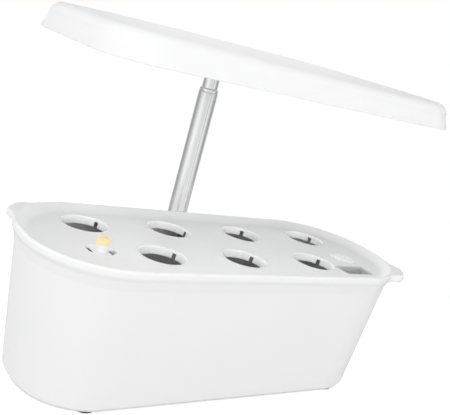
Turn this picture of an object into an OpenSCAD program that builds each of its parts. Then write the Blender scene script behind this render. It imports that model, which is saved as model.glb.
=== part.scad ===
// Countertop hydroponic garden: a water tub, a lift-off grow deck with seven pod collars,
// a telescopic mast and a flat grow lamp. Millimetres, Z up, table top at Z = 0.
// X runs along the tub, the front is at -Y, the mast stands behind the tub at +Y.

/* [Tub and rim] */
// length over the deck rim
rim_l = 363; // [300:1:420]
// width over the deck rim
rim_w = 147; // [136:0.5:180]
// plan corner radius of the rim
rim_r = 67.5; // [40:0.5:68]
// height of the deck face above the table
deck_z = 116.5; // [90:0.5:150]
// how far the tub wall stands in from the rim
wall_in = 3.2; // [2.8:0.1:5]
// how far the tub narrows on each side from top to bottom
tub_draft = 10.4; // [4:0.1:16]
// tub wall thickness
tub_t = 2.5; // [1.8:0.1:4]
// tub floor thickness
floor_t = 3; // [2:0.1:5]
// bevel round the bottom edge of the tub
base_edge = 3; // [1:0.1:6]
// rubber foot radius
foot_r = 7; // [5:0.5:10]
// how far the rubber feet hold the tub off the table
foot_h = 2; // [1:0.1:4]

/* [Grow deck] */
// deck plate thickness
deck_t = 2.5; // [2:0.1:4]
// height of the rim crest above the deck face
rim_h = 5.6; // [3:0.1:9]
// width of the sloping band from the rim edge to the flat deck
rim_band = 9.5; // [7:0.1:14]
// depth of the rim skirt below the deck face
skirt_h = 3; // [2:0.1:8]
// how far each lifting tab stands out of the rim corner
tab_out = 10.5; // [8:0.5:14]
// width of a lifting tab at its tip
tab_w = 32; // [20:1:40]
// direction of the tabs from the long axis, in degrees
tab_turn = 42.5; // [35:0.5:50]
// thickness of the lifting tabs
tab_t = 7; // [5:0.1:8]

/* [Pods] */
// distance from each end of the rim to the outer pods of the back row, before the shift
pod_end = 61.5; // [58:0.5:68]
// how far the whole pod grid stands to the right of the tub centre
pod_shift = 5.8; // [0:0.1:8]
// distance of the back row of four pods from the back of the rim
back_in = 37.5; // [33.5:0.5:40]
// distance of the front row of three pods from the front of the rim
front_in = 48.2; // [43.5:0.1:53.5]
// clear opening radius of a pod collar
pod_r = 18.6; // [15:0.1:20]
// collar wall thickness
collar_t = 1.2; // [1:0.1:1.6]
// collar depth below the deck face
collar_h = 6.3; // [5:0.1:10]
// width of the two key slots in each collar
slot_w = 4; // [2:0.1:8]
// radial gap between a collar and its deck hole
collar_gap = 0.06; // [0.03:0.01:0.1]

/* [Mast] */
// outer tube radius
mast_r = 9; // [7:0.1:12]
// outer tube wall thickness
mast_t = 1; // [0.8:0.1:1.4]
// inner tube radius
rod_r = 7.3; // [5:0.1:9]
// inner tube wall thickness
rod_t = 0.9; // [0.6:0.1:1.5]
// how far the mast axis stands behind the rim
mast_out = 7.5; // [6.5:0.5:10.5]
// height of the outer tube top above the table
mast_top = 239; // [220:0.5:241]
// radial gap of the sliding fits in the mast
slide_gap = 0.06; // [0.02:0.01:0.1]

/* [Lamp] */
// lamp length
lamp_l = 346; // [300:1:380]
// lamp width
lamp_w = 160; // [158:0.5:170]
// plan corner radius of the lamp
lamp_r = 36; // [26:0.5:60]
// how far the lamp reaches behind the mast axis
lamp_back = 11; // [11:0.5:16]
// height of the lamp underside above the table
lamp_z = 260.5; // [250:0.5:300]
// height of the lamp at the middle of its long sides
lamp_h = 22; // [19:0.5:28]
// how far the side wall leans in over that height
lamp_lean = 7; // [2:0.1:9]
// size of the round top edge of the hood
lamp_edge = 8.8; // [5:0.1:10]
// rise of the domed top from the long sides to the middle
dome_h = 2; // [1:0.1:6]
// how much lower the dome is at both ends
dome_drop = 3; // [1:0.1:5]
// lamp shell thickness
lamp_t = 2.2; // [1.6:0.1:3.5]

/* [Port, float and button] */
// distance of the refill port from the last pod of the front row
port_side = 36.7; // [36.2:0.1:40]
// distance of the refill port from the front of the rim
port_front = 31; // [29.5:0.5:32.5]
// refill port opening length
port_l = 33; // [26:0.5:34]
// refill port opening width
port_w = 17; // [12:0.5:18]
// depth of the refill chute
port_h = 16; // [10:0.5:24]
// distance of the float from the left end of the rim
float_side = 56.5; // [51.5:0.5:63.5]
// distance of the float from the front of the rim
float_front = 53.5; // [47.5:0.5:59.5]
// radius of the round recess about the float
float_cup_r = 12; // [10:0.1:14]
// radius of the float stem
float_r = 5.1; // [4:0.1:6]
// distance of the button from the right end of the rim
key_side = 47.5; // [41.5:0.5:51.5]
// distance of the button from the front of the rim
key_front = 60.5; // [57.5:0.5:65.5]
// button radius
key_r = 8.5; // [6:0.1:9]
// button travel
key_travel = 0.8; // [0.4:0.1:1.2]
// radial gap between the button and its bezel
key_gap = 0.08; // [0.04:0.01:0.1]

/* [Hidden] */
$fn = 96;
tub_l = rim_l - 2 * wall_in;
tub_w = rim_w - 2 * wall_in;
tub_r = rim_r - wall_in;
tub_top = deck_z + 1.2;
lid_gap = 0.05;
collar_r = pod_r + collar_t;
lip_w = 0.9;
pod_pitch = (rim_l - 2 * pod_end) / 3;
row_back = rim_w / 2 - back_in;
row_front = front_in - rim_w / 2;
mast_y = rim_w / 2 + mast_out;
lamp_y = mast_y + lamp_back - lamp_w / 2;
port_x = pod_pitch + pod_shift + port_side;
port_y = port_front - rim_w / 2;
float_x = float_side - rim_l / 2;
float_y = float_front - rim_w / 2;
key_x = rim_l / 2 - key_side;
key_y = key_front - rim_w / 2;
foot_x = rim_l / 2 - 57.5;
foot_y = rim_w / 2 - 27.5;
foot_pin = foot_r - 4;
pods = [for (i = [0:3]) [(i - 1.5) * pod_pitch + pod_shift, row_back, 0],
  for (i = [0:2]) [(i - 1) * pod_pitch + pod_shift, row_front, 90]];
pod_turn = [34, 4, 50, 28, 28, 30, 31];
mast_bore = mast_r - mast_t;
bracket_low = 42;
bracket_top = deck_z - 5;
mast_low = bracket_low + 4;
bracket_w = 44;
web_w = 22;
web_in = 26;
bracket_t = 3.5;
rod_low = mast_low + 20;
mid_y = (mast_y + mast_r + bracket_t - rim_w / 2) / 2;

socket_h = 13;
crown_y = (lamp_w / 2) * (lamp_w / 2) / (2 * dome_h) + dome_h / 2;
crown_x = (lamp_l / 2) * (lamp_l / 2) / (2 * dome_drop) + dome_drop / 2;
lamp_top = lamp_z + lamp_h + dome_h;
edge_z = lamp_z + lamp_h - lamp_edge;
edge_in = lamp_lean * (lamp_h - lamp_edge) / lamp_h;
round_z = edge_z + lamp_edge * sin(45);
round_in = edge_in + lamp_edge * (1 - cos(45));
cover_t = 2;
cover_up = 1.5;
box_h = 15;
box_t = 2;
box_x = key_x + 2;
box_side_gap = 7.4;
box_l = 2 * (box_x - pod_pitch - pod_shift - collar_r - box_side_gap);
box_back_gap = 6.2;
box_back = row_back - collar_r - box_back_gap;
box_front = key_y - 15;
box_w = box_back - box_front;
box_y = (box_back + box_front) / 2;
screw_r = 1.5;
head_r = 2.8;
pump_x = -rim_l / 2 + 121.5;
pump_y = 4;
pump_l = 46;
pump_w = 32;
pump_h = 30;
cup_h = 5;
pipe_r = 5;
pipe_bore = 3.5;
floor_z = foot_h + floor_t;
inlet_x = rim_l / 2 - 119.5;
inlet_z = deck_z - 20.5;
inlet_r = 6;
jack_r = 2.75;
nozzle_x = pump_x - 12;
pump_z = floor_z + cup_h - 1;
wall_lean = atan(tub_draft / (tub_top - foot_h - base_edge));
seat_l = 44;
seat_in = 11;
seat_y = mast_y - seat_in;
screw_y = mast_y - 3;
bulb_r = 11;
bulb_h = 30;
cap_up = 6.2;
fit = 0.02;
plate_l = 282;
plate_w = 96;
plate_y = lamp_y - 2.5;
plate_z = lamp_z + 10;
led_pitch = 20;
led_row = 30;
led_w = 5;
driver_l = 64;
driver_w = 32;
cover_points = [for (x = [-1, 1], y = [-1, 1])
  [x * (lamp_l / 2 - 22), lamp_y + y * (lamp_w / 2 - 14)], [0, lamp_y - lamp_w / 2 + 14]];

// a rounded rectangle block that narrows from inset k0 at z0 to inset k1 at z1
module taper(l, w, r, z0, z1, k0, k1) {
  rotate([90, 0, 90])
    linear_extrude(l - 2 * r, center = true)
      polygon([[k0 - w / 2, z0], [w / 2 - k0, z0], [w / 2 - k1, z1], [k1 - w / 2, z1]]);
  rotate([90, 0, 0])
    linear_extrude(w - 2 * r, center = true)
      polygon([[k0 - l / 2, z0], [l / 2 - k0, z0], [l / 2 - k1, z1], [k1 - l / 2, z1]]);
  for (x = [-1, 1], y = [-1, 1])
    translate([x * (l / 2 - r), y * (w / 2 - r), z0])
      cylinder(h = z1 - z0, r1 = r - k0, r2 = r - k1);
}

// carries a profile drawn outwards from the corner centre round a rounded rectangle
module around(l, w, r) {
  for (m = [0, 1]) {
    mirror([0, m, 0])
      translate([0, w / 2 - r, 0])
        rotate([90, 0, 90])
          linear_extrude(l - 2 * r, center = true)
            children();
    mirror([m, 0, 0])
      translate([l / 2 - r, 0, 0])
        rotate([90, 0, 0])
          linear_extrude(w - 2 * r, center = true)
            children();
    for (n = [0, 1])
      mirror([m, 0, 0])
        mirror([0, n, 0])
          translate([l / 2 - r, w / 2 - r, 0])
            rotate_extrude(angle = 90)
              children();
  }
}

// a flat rounded bar, used for boards, plates and cases
module slab(l, w, h, r) {
  linear_extrude(h) {
    square([l - 2 * r, w], center = true);
    square([l, w - 2 * r], center = true);
    for (x = [-1, 1], y = [-1, 1])
      translate([x * (l / 2 - r), y * (w / 2 - r)])
        circle(r);
  }
}

// stands its children on the back wall of the tub, pointing straight out of it
module on_wall(x, z) {
  translate([x, tub_w / 2 - tan(wall_lean) * (tub_top - z), z])
    rotate([-90 - wall_lean, 0, 0])
      children();
}

module tub_shell() {
  color("white")
    difference() {
      union() {
        taper(tub_l, tub_w, tub_r, foot_h, foot_h + base_edge, tub_draft + base_edge * 0.6, tub_draft);
        taper(tub_l, tub_w, tub_r, foot_h + base_edge, tub_top, tub_draft, 0);
      }
      taper(tub_l, tub_w, tub_r, floor_z, tub_top + 0.1, tub_draft + tub_t, tub_t);
      for (z = [bracket_low + 12, bracket_top - 12])
        on_wall(0, z)
          cylinder(h = 20, r = screw_r, center = true);
      on_wall(inlet_x, inlet_z)
        cylinder(h = 20, r = inlet_r, center = true);
      for (x = [-1, 1], y = [-1, 1])
        translate([x * foot_x, y * foot_y, foot_h - 0.1])
          cylinder(h = 1.1, r = foot_pin);
    }
}

module rubber_feet() {
  color("dimgray")
    for (x = [-1, 1], y = [-1, 1])
      translate([x * foot_x, y * foot_y, 0]) {
        cylinder(h = foot_h, r1 = foot_r - 0.6, r2 = foot_r);
        cylinder(h = foot_h + 1, r = foot_pin);
      }
}

module pump_case() {
  color("#2b2b2e")
    translate([pump_x, pump_y, pump_z])
      difference() {
        union() {
          slab(pump_l, pump_w, pump_h, 5);
          translate([nozzle_x - pump_x, 0, pump_h])
            cylinder(h = 14, r = pipe_bore);
        }
        translate([-pump_l / 2 - 0.1, 0, pump_h / 2])
          rotate([0, 90, 0])
            cylinder(h = 16, r = 10);
        translate([nozzle_x - pump_x, 0, pump_h / 2])
          cylinder(h = pump_h, r = 2.2);
        for (x = [-1, 1], y = [-1, 1])
          translate([x * (pump_l / 2 - 7), y * (pump_w / 2 - 7), -0.1])
            cylinder(h = 3.2, r = 2 + fit);
      }
}

module pump_cover() {
  color("#3a3a3e")
    translate([pump_x - pump_l / 2, pump_y, pump_z + pump_h / 2])
      rotate([0, -90, 0])
        difference() {
          union() {
            translate([0, 0, fit])
              cylinder(h = 4, r = 12);
            translate([0, 0, -3])
              cylinder(h = 4, r = 10 - fit);
          }
          translate([0, 0, -3.1])
            cylinder(h = 4.6, r = 8);
          for (a = [-6:4:6])
            translate([a - 1, -7, -0.1])
              cube([2, 14, 5]);
        }
}

module suction_cups() {
  color("#50545a")
    for (x = [-1, 1], y = [-1, 1])
      translate([pump_x + x * (pump_l / 2 - 7), pump_y + y * (pump_w / 2 - 7), floor_z])
        difference() {
          union() {
            cylinder(h = 2.5, r1 = 6, r2 = 3);
            cylinder(h = cup_h - 1, r = 3);
            cylinder(h = cup_h + 2, r = 2);
          }
          translate([0, 0, -0.1])
            cylinder(h = 1.6, r1 = 5, r2 = 1.5);
        }
}

module riser_pipe() {
  color("#dfe6e6")
    translate([nozzle_x, pump_y, pump_z + pump_h + 1])
      difference() {
        cylinder(h = 46, r = pipe_r);
        translate([0, 0, -0.1])
          cylinder(h = 46.2, r = pipe_bore + fit);
      }
}

module spray_head() {
  color("#2b2b2e")
    translate([nozzle_x, pump_y, pump_z + pump_h + 47 + fit])
      difference() {
        union() {
          translate([0, 0, -10])
            cylinder(h = 10, r = pipe_bore);
          cylinder(h = 5, r = pipe_r + 1);
          translate([0, 0, 5])
            cylinder(h = 2, r1 = pipe_r + 1, r2 = pipe_r - 1);
        }
        translate([0, 0, -10.1])
          cylinder(h = 14, r = 2);
        for (a = [0:60:150])
          rotate([0, 0, a])
            translate([0, 0, 2.4])
              rotate([0, 90, 0])
                cylinder(h = 20, r = 0.9, center = true);
      }
}

module power_inlet() {
  color("#1e1e20")
    on_wall(inlet_x, inlet_z)
      difference() {
        union() {
          translate([0, 0, -12])
            cylinder(h = 13, r = inlet_r - fit);
          translate([0, 0, fit])
            cylinder(h = 2, r = inlet_r + 2.5);
        }
        translate([0, 0, -8])
          cylinder(h = 12, r = jack_r);
      }
}

module mast_bracket() {
  deep = bracket_top - bracket_low;
  color("white")
    difference() {
      union() {
        translate([0, mast_y, bracket_low])
          cylinder(h = deep, r = mast_r + bracket_t);
        translate([-web_w / 2, mast_y - web_in, bracket_low])
          cube([web_w, web_in, deep]);
        intersection() {
          taper(tub_l, tub_w, tub_r, foot_h + base_edge, tub_top, tub_draft - bracket_t, -bracket_t);
          translate([-bracket_w / 2, mast_y - web_in - 5, bracket_low])
            cube([bracket_w, web_in + 14, deep]);
        }
      }
      taper(tub_l, tub_w, tub_r, foot_h + base_edge, tub_top, tub_draft - fit, -fit);
      translate([0, mast_y, mast_low])
        cylinder(h = 100, r = mast_r + fit);
      for (z = [bracket_low + 12, bracket_top - 12])
        on_wall(0, z)
          cylinder(h = 12, r = screw_r + fit, center = true);
    }
}

module bracket_screws() {
  color("silver")
    for (z = [bracket_low + 12, bracket_top - 12])
      on_wall(0, z)
        translate([0, 0, -tub_t - 2]) {
          cylinder(h = 1.9, r = head_r + 0.4);
          cylinder(h = 7.5, r = screw_r - fit);
        }
}

module outer_tube() {
  lip = 1.2;
  color("silver")
    translate([0, mast_y, 0])
      difference() {
        union() {
          translate([0, 0, mast_low])
            cylinder(h = mast_top - lip - mast_low, r = mast_r);
          translate([0, 0, mast_top - lip])
            rotate_extrude()
              translate([mast_r - lip, 0])
                circle(lip, $fn = 48);
          translate([0, 0, mast_top - lip - 1])
            cylinder(h = lip + 1, r = mast_r - lip);
        }
        translate([0, 0, mast_low - 1])
          cylinder(h = mast_top - 2 - mast_low + 1, r = mast_bore);
        cylinder(h = 400, r = rod_r + 0.35);
      }
}

module guide_bush() {
  color("#e6e6e6")
    translate([0, mast_y, mast_top - 22 - fit])
      difference() {
        cylinder(h = 20, r = mast_bore - fit);
        translate([0, 0, -0.1])
          cylinder(h = 20.2, r = rod_r + slide_gap);
      }
}

// the rim cross section, drawn outwards from the corner centre
module rim_profile() {
  crest = 1.8;
  difference() {
    union() {
      polygon([[rim_r - rim_band - 3, deck_z - deck_t], [rim_r - rim_band - 3, deck_z],
        [rim_r - rim_band, deck_z], [rim_r - crest - 0.9, deck_z + rim_h - 0.17],
        [rim_r - crest - 0.2, deck_z + rim_h], [rim_r - 0.2, deck_z + rim_h - crest],
        [rim_r, deck_z - skirt_h], [rim_r - wall_in + 0.3, deck_z - skirt_h],
        [rim_r - wall_in + 0.3, deck_z - deck_t]]);
      translate([rim_r - crest - 0.2, deck_z + rim_h - crest])
        circle(crest, $fn = 48);
    }
    polygon([[rim_r - wall_in - tub_t - 0.4, deck_z - 10],
      [rim_r - wall_in - tub_t - 0.4, tub_top + lid_gap],
      [rim_r - wall_in + 0.3, tub_top + lid_gap], [rim_r - wall_in + 0.3, deck_z - 10]]);
  }
}

module lifting_tab() {
  tip = tab_out - 0.5;
  translate([rim_l / 2 - rim_r, rim_r - rim_w / 2, deck_z + rim_h - 0.4 - tab_t])
    rotate([0, 0, -tab_turn])
      translate([rim_r, 0, 0])
        difference() {
          union() {
            translate([-1.6, -tab_w / 2, 0])
              cube([tab_out - tip + 1.6, tab_w, tab_t]);
            translate([0, tip - tab_w / 2, 0])
              cube([tab_out, tab_w - 2 * tip, tab_t]);
            for (y = [-1, 1])
              translate([tab_out - tip, y * (tab_w / 2 - tip), 0])
                cylinder(h = tab_t, r = tip);
          }
          translate([-rim_r, 0, -0.1])
            cylinder(h = tab_t + 1, r = rim_r - 1.6);
        }
}

module grow_deck() {
  color("white")
    difference() {
      union() {
        translate([0, 0, deck_z - deck_t])
          slab(rim_l - 2 * rim_band - 4, rim_w - 2 * rim_band - 4, deck_t, rim_r - rim_band - 2);
        around(rim_l, rim_w, rim_r)
          rim_profile();
        around(rim_l, rim_w, rim_r)
          translate([rim_r - wall_in - tub_t - 2.8, deck_z - 8])
            square([1.5, 8 - deck_t + 0.1]);
        lifting_tab();
        rotate([0, 0, 180])
          lifting_tab();
        for (p = pods)
          translate([p[0], p[1], deck_z - 5])
            cylinder(h = 5, r = collar_r + 1.8);
      }
      for (p = pods) {
        translate([p[0], p[1], deck_z - 9])
          cylinder(h = 20, r = collar_r + collar_gap);
        translate([p[0], p[1], deck_z - 0.9])
          cylinder(h = 5, r = collar_r + lip_w + 0.1);
      }
      translate([float_x, float_y, deck_z - 9])
        cylinder(h = 20, r = float_cup_r);
      translate([port_x, port_y, deck_z - 9])
        slab(port_l + 2 + 2 * fit, port_w + 2 + 2 * fit, 20, 4 + fit);
      translate([key_x, key_y, deck_z - 9])
        cylinder(h = 20, r = key_r + 2);
      for (x = [-1, 1], y = [-1, 1])
        translate([box_x + x * (box_l / 2 - 4), box_y + y * (box_w / 2 - 4), deck_z - deck_t - 0.1])
          cylinder(h = 1.8, r = screw_r);
      translate([0, mast_y, deck_z - 12])
        cylinder(h = 30, r = mast_r + 0.3);
    }
}

module refill_chute() {
  color("white")
    translate([port_x, port_y, deck_z - port_h])
      difference() {
        union() {
          slab(port_l + 2, port_w + 2, port_h, 4);
          translate([0, 0, port_h - 0.2])
            slab(port_l + 1.2, port_w + 1.2, 0.5, 3.6);
        }
        translate([0, 0, 2])
          slab(port_l, port_w, port_h, 3);
        translate([0, 0, -0.1])
          slab(port_l - 5, port_w - 5, port_h, 2);
      }
}

module refill_strainer() {
  color("#c9cbcc")
    translate([port_x, port_y, deck_z - port_h + 2])
      difference() {
        slab(port_l - 2 * fit, port_w - 2 * fit, 1.2, 3 - fit);
        for (x = [-2:2], y = [-1:1])
          translate([x * 5.6, y * 4.2, -0.1])
            slab(4.2, 2.8, 1.4, 0.8);
      }
}

module float_cage() {
  floor_up = 4;
  color("white")
    translate([float_x, float_y, deck_z])
      difference() {
        union() {
          difference() {
            union() {
              translate([0, 0, -14])
                cylinder(h = 14, r = float_cup_r - fit);
              translate([0, 0, -deck_t - 1.5 - fit])
                cylinder(h = 1.5, r = float_cup_r + 2);
            }
            translate([0, 0, -floor_up])
              cylinder(h = 5, r = float_cup_r - 1.4);
            translate([0, 0, -15])
              cylinder(h = 15 - floor_up - 1.6, r = float_cup_r - 1.4);
          }
          translate([0, 0, -14])
            cylinder(h = 14 - floor_up - 0.1, r = float_r + 1.6);
        }
        translate([0, 0, -15])
          cylinder(h = 20, r = float_r + slide_gap);
        for (m = [0, 1])
          mirror([m, 0, 0])
            difference() {
              translate([0, 0, -8])
                cylinder(h = 5, r = float_cup_r - 1.8);
              translate([0, 0, -9])
                cylinder(h = 7, r = float_r + 1.6);
              translate([-20, -20, -9])
                cube([24, 40, 7]);
            }
      }
}

module float_stem() {
  color("white")
    translate([float_x, float_y, deck_z - 46])
      cylinder(h = 46 + cap_up, r = float_r);
}

module float_cap() {
  color("#f2c94c")
    translate([float_x, float_y, deck_z + cap_up]) {
      cylinder(h = 1, r = float_r);
      translate([0, 0, 1])
        difference() {
          sphere(float_r);
          translate([-20, -20, -20])
            cube([40, 40, 20]);
        }
    }
}

module float_bulb() {
  color("#f0efe8")
    translate([float_x, float_y, deck_z - 60])
      difference() {
        union() {
          cylinder(h = 3, r1 = bulb_r - 3, r2 = bulb_r);
          translate([0, 0, 3])
            cylinder(h = bulb_h - 6, r = bulb_r);
          translate([0, 0, bulb_h - 3])
            cylinder(h = 3, r1 = bulb_r, r2 = bulb_r - 3);
        }
        translate([0, 0, 14])
          cylinder(h = 30, r = float_r);
      }
}

module key_bezel() {
  color("#eeeeee")
    translate([key_x, key_y, deck_z])
      difference() {
        union() {
          translate([0, 0, -4])
            cylinder(h = 4.2, r = key_r + 2 - fit);
          cylinder(h = 0.6, r1 = key_r + 3.4, r2 = key_r + 2.8);
        }
        translate([0, 0, -5])
          cylinder(h = 10, r = key_r + key_gap);
      }
}

module touch_key() {
  color("#f4f4f2")
    translate([key_x, key_y, deck_z]) {
      difference() {
        union() {
          translate([0, 0, -5])
            cylinder(h = 5.3, r = key_r);
          translate([0, 0, 0.3])
            cylinder(h = 0.5, r1 = key_r, r2 = key_r - 0.5);
          translate([0, 0, -5.2])
            cylinder(h = 1.1, r = key_r + 1.2);
        }
        translate([0, 0, -6])
          cylinder(h = 5, r = key_r - 1.5);
      }
      translate([0, 0, -6.6])
        cylinder(h = 6, r = 2);
    }
}

module control_box() {
  color("#d8dadb")
    translate([box_x, box_y, deck_z - deck_t - box_h])
      difference() {
        slab(box_l, box_w, box_h, 4);
        difference() {
          translate([0, 0, box_t])
            slab(box_l - 2 * box_t, box_w - 2 * box_t, box_h, 2);
          for (x = [-1, 1], y = [-1, 1])
            translate([x * (box_l / 2 - 4), y * (box_w / 2 - 4), 0])
              cylinder(h = box_h, r = 4);
          for (x = [-1, 1])
            translate([x * (box_l / 2 - 14), 0, 0])
              cylinder(h = 4.4, r = 2.5);
        }
        for (x = [-1, 1], y = [-1, 1])
          translate([x * (box_l / 2 - 4), y * (box_w / 2 - 4), -0.1])
            cylinder(h = box_h + 1, r = screw_r + fit);
      }
}

module box_screws() {
  color("silver")
    for (x = [-1, 1], y = [-1, 1])
      translate([box_x + x * (box_l / 2 - 4), box_y + y * (box_w / 2 - 4), deck_z - deck_t - box_h]) {
        translate([0, 0, -1.6])
          cylinder(h = 1.6, r = head_r);
        cylinder(h = box_h + 1.5, r = screw_r - fit);
      }
}

module control_board() {
  color("#2f6b45")
    translate([box_x, box_y, deck_z - deck_t - box_h + 4.4])
      slab(box_l - 18, box_w - 8, 1.6, 1);
}

module key_switch() {
  base_z = deck_z - deck_t - box_h + 6;
  color("#3b3b3f") {
    translate([key_x - 3, key_y - 3, base_z])
      cube([6, 6, 3]);
    translate([key_x, key_y, base_z])
      cylinder(h = deck_z - 6.6 - key_travel - 0.1 - base_z, r = 1.7);
  }
}

module collar(i) {
  color("#f7f7f5")
    translate([pods[i][0], pods[i][1], deck_z])
      rotate([0, 0, pod_turn[i]])
        difference() {
          union() {
            translate([0, 0, -collar_h])
              cylinder(h = collar_h, r = collar_r);
            translate([0, 0, -0.85])
              cylinder(h = 1.05, r = collar_r + lip_w);
            translate([0, 0, 0.2])
              cylinder(h = 0.5, r1 = collar_r + lip_w, r2 = collar_r + lip_w - 0.5);
          }
          translate([0, 0, -collar_h - 0.1])
            cylinder(h = collar_h + 2, r = pod_r);
          translate([0, 0, -1.2])
            cylinder(h = 2, r1 = pod_r, r2 = pod_r + 2);
          for (m = [0, 1])
            mirror([m, 0, 0])
              translate([pod_r - 4, -slot_w / 2, -collar_h - 0.1])
                cube([10, slot_w, collar_h - 1.4]);
        }
}

module inner_tube() {
  color("silver")
    translate([0, mast_y, rod_low])
      difference() {
        cylinder(h = lamp_z + socket_h - 2 - rod_low, r = rod_r);
        translate([0, 0, -0.1])
          cylinder(h = lamp_z - rod_low + socket_h, r = rod_r - rod_t);
      }
}

module tube_glide() {
  color("#e6e6e6")
    translate([0, mast_y, rod_low - 4])
      difference() {
        union() {
          cylinder(h = 4, r = mast_bore - slide_gap);
          cylinder(h = 14, r = rod_r - rod_t - fit);
        }
        translate([0, 0, -0.1])
          cylinder(h = 20, r = 4);
      }
}

// the lamp hood as a solid, shrunk by t on every outer face
module hood(t) {
  low = lamp_z - (t > 0 ? 1 : 0);
  long = lamp_l - 2 * t;
  wide = lamp_w - 2 * t;
  turn = lamp_r - t;
  foot = lamp_lean / lamp_h;
  intersection() {
    translate([0, lamp_y, -0.6 * t]) {
      taper(long, wide, turn, lamp_z - 1, edge_z, -foot, edge_in);
      taper(long, wide, turn, edge_z, round_z, edge_in, round_in);
      taper(long, wide, turn, round_z, lamp_top, round_in,
        round_in + (lamp_top - round_z) * tan(67.5));
    }
    translate([0, lamp_y, lamp_top - crown_y])
      rotate([0, 90, 0])
        cylinder(h = lamp_l + 20, r = crown_y - t, center = true, $fn = 360);
    translate([0, lamp_y, lamp_top - crown_x])
      rotate([90, 0, 0])
        cylinder(h = lamp_w + 20, r = crown_x - t, center = true, $fn = 720);
    translate([-250, -200, low])
      cube([500, 400, 60]);
  }
}

module lamp_shell() {
  color("white")
    difference() {
      union() {
        difference() {
          hood(0);
          hood(lamp_t);
        }
        intersection() {
          hood(1);
          union() {
            for (p = cover_points)
              translate([p[0], p[1], lamp_z + cover_up + cover_t + fit])
                cylinder(h = 30, r = 3.4);
            for (x = [-1, 1], y = [-1, 1])
              translate([x * (plate_l / 2 - 23), plate_y + y * (plate_w / 2 - 10), plate_z + 1.5 + fit])
                cylinder(h = 30, r = 4);
            translate([-seat_l / 2, seat_y, lamp_z])
              cube([seat_l, seat_in + lamp_back + 8, socket_h + 2]);
          }
        }
        translate([0, mast_y, lamp_z])
          cylinder(h = socket_h + 2, r = 11);
      }
      translate([0, mast_y, lamp_z - 1])
        cylinder(h = socket_h + 1 + fit, r = rod_r + 2.3);
      for (p = cover_points)
        translate([p[0], p[1], lamp_z])
          cylinder(h = 11, r = screw_r);
      for (x = [-1, 1])
        translate([x * 16, screw_y, lamp_z - 1])
          cylinder(h = 11, r = screw_r);
    }
}

module lamp_socket() {
  color("#b9bcc0")
    difference() {
      union() {
        translate([0, mast_y, lamp_z - 1])
          cylinder(h = socket_h + 1, r = rod_r + 2.3 - fit);
        translate([0, seat_y + (seat_in + lamp_back - 1) / 2, lamp_z - 2 - fit])
          slab(seat_l, seat_in + lamp_back - 1, 2, 6);
      }
      translate([0, mast_y, lamp_z - 3])
        cylinder(h = socket_h + 1, r = rod_r + fit);
      for (x = [-1, 1])
        translate([x * 16, screw_y, lamp_z - 3])
          cylinder(h = 20, r = screw_r + fit);
    }
}

module socket_screws() {
  color("silver")
    for (x = [-1, 1])
      translate([x * 16, screw_y, lamp_z - 2 - 2 * fit]) {
        translate([0, 0, -1.6])
          cylinder(h = 1.6, r = head_r);
        cylinder(h = 10, r = screw_r - fit);
      }
}

module heat_plate() {
  color("#b4b8bc")
    translate([0, plate_y, plate_z])
      slab(plate_l, plate_w, 1.5, 5);
}

module led_board() {
  color("#f2f2ee")
    translate([0, plate_y, plate_z - 1.4 - fit])
      slab(plate_l - 4, plate_w - 4, 1.4, 4);
}

module white_leds() {
  color("#f6e9a8")
    for (x = [-6:6], y = [-1, 0, 1])
      translate([x * led_pitch - led_w / 2, plate_y + y * led_row - led_w / 2, plate_z - 2.3 - 2 * fit])
        cube([led_w, led_w, 0.9]);
}

module red_leds() {
  color("#c8443c")
    for (x = [-5.5:2:5.5], y = [-0.5, 0.5])
      translate([x * led_pitch - led_w / 2, plate_y + y * led_row - led_w / 2, plate_z - 2.3 - 2 * fit])
        cube([led_w, led_w, 0.9]);
}

module lamp_driver() {
  color("#2f6b45")
    translate([plate_l / 2 - 79, plate_y, plate_z + 1.5 + fit]) {
      slab(driver_l, driver_w, 1.6, 2);
      translate([8 - driver_l / 2, 6 - driver_w / 2, 1.5])
        cube([16, driver_w - 12, 4.6]);
      translate([2, 5 - driver_w / 2, 1.5])
        cube([10, 10, 4]);
      for (x = [driver_l / 2 - 14, driver_l / 2 - 7])
        translate([x, 6, 1.5])
          cylinder(h = 4.4, r = 2.5);
    }
}

module lamp_cover() {
  inset = lamp_t + 2;
  color("#f4f6f6")
    difference() {
      translate([0, lamp_y, lamp_z + cover_up])
        slab(lamp_l - 2 * inset, lamp_w - 2 * inset, cover_t, lamp_r - inset);
      translate([-seat_l / 2 - 0.4, seat_y - 0.4, lamp_z])
        cube([seat_l + 0.8, 40, 8]);
      for (p = cover_points)
        translate([p[0], p[1], lamp_z])
          cylinder(h = 10, r = screw_r + fit);
    }
}

module cover_screws() {
  color("silver")
    for (p = cover_points)
      translate([p[0], p[1], lamp_z + cover_up - fit]) {
        translate([0, 0, -1.2])
          cylinder(h = 1.2, r = head_r);
        cylinder(h = 9, r = screw_r - fit);
      }
}

// moves the garden so that the middle of its depth lies at Y = 0
module centred() {
  translate([0, -mid_y, 0])
    children();
}

centred() tub_shell();
centred() rubber_feet();
centred() pump_case();
centred() pump_cover();
centred() suction_cups();
centred() riser_pipe();
centred() spray_head();
centred() power_inlet();
centred() mast_bracket();
centred() bracket_screws();
centred() outer_tube();
centred() guide_bush();
centred() grow_deck();
centred() refill_chute();
centred() refill_strainer();
centred() float_cage();
centred() key_bezel();
centred() control_box();
centred() control_board();
centred() key_switch();
centred() box_screws();
centred() float_stem();
centred() float_cap();
centred() float_bulb();
centred() touch_key();
centred() collar(0);  // collar_b1
centred() collar(1);  // collar_b2
centred() collar(2);  // collar_b3
centred() collar(3);  // collar_b4
centred() collar(4);  // collar_f1
centred() collar(5);  // collar_f2
centred() collar(6);  // collar_f3
centred() inner_tube();
centred() tube_glide();
centred() lamp_shell();
centred() lamp_socket();
centred() socket_screws();
centred() heat_plate();
centred() led_board();
centred() white_leds();
centred() red_leds();
centred() lamp_driver();
centred() lamp_cover();
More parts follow.
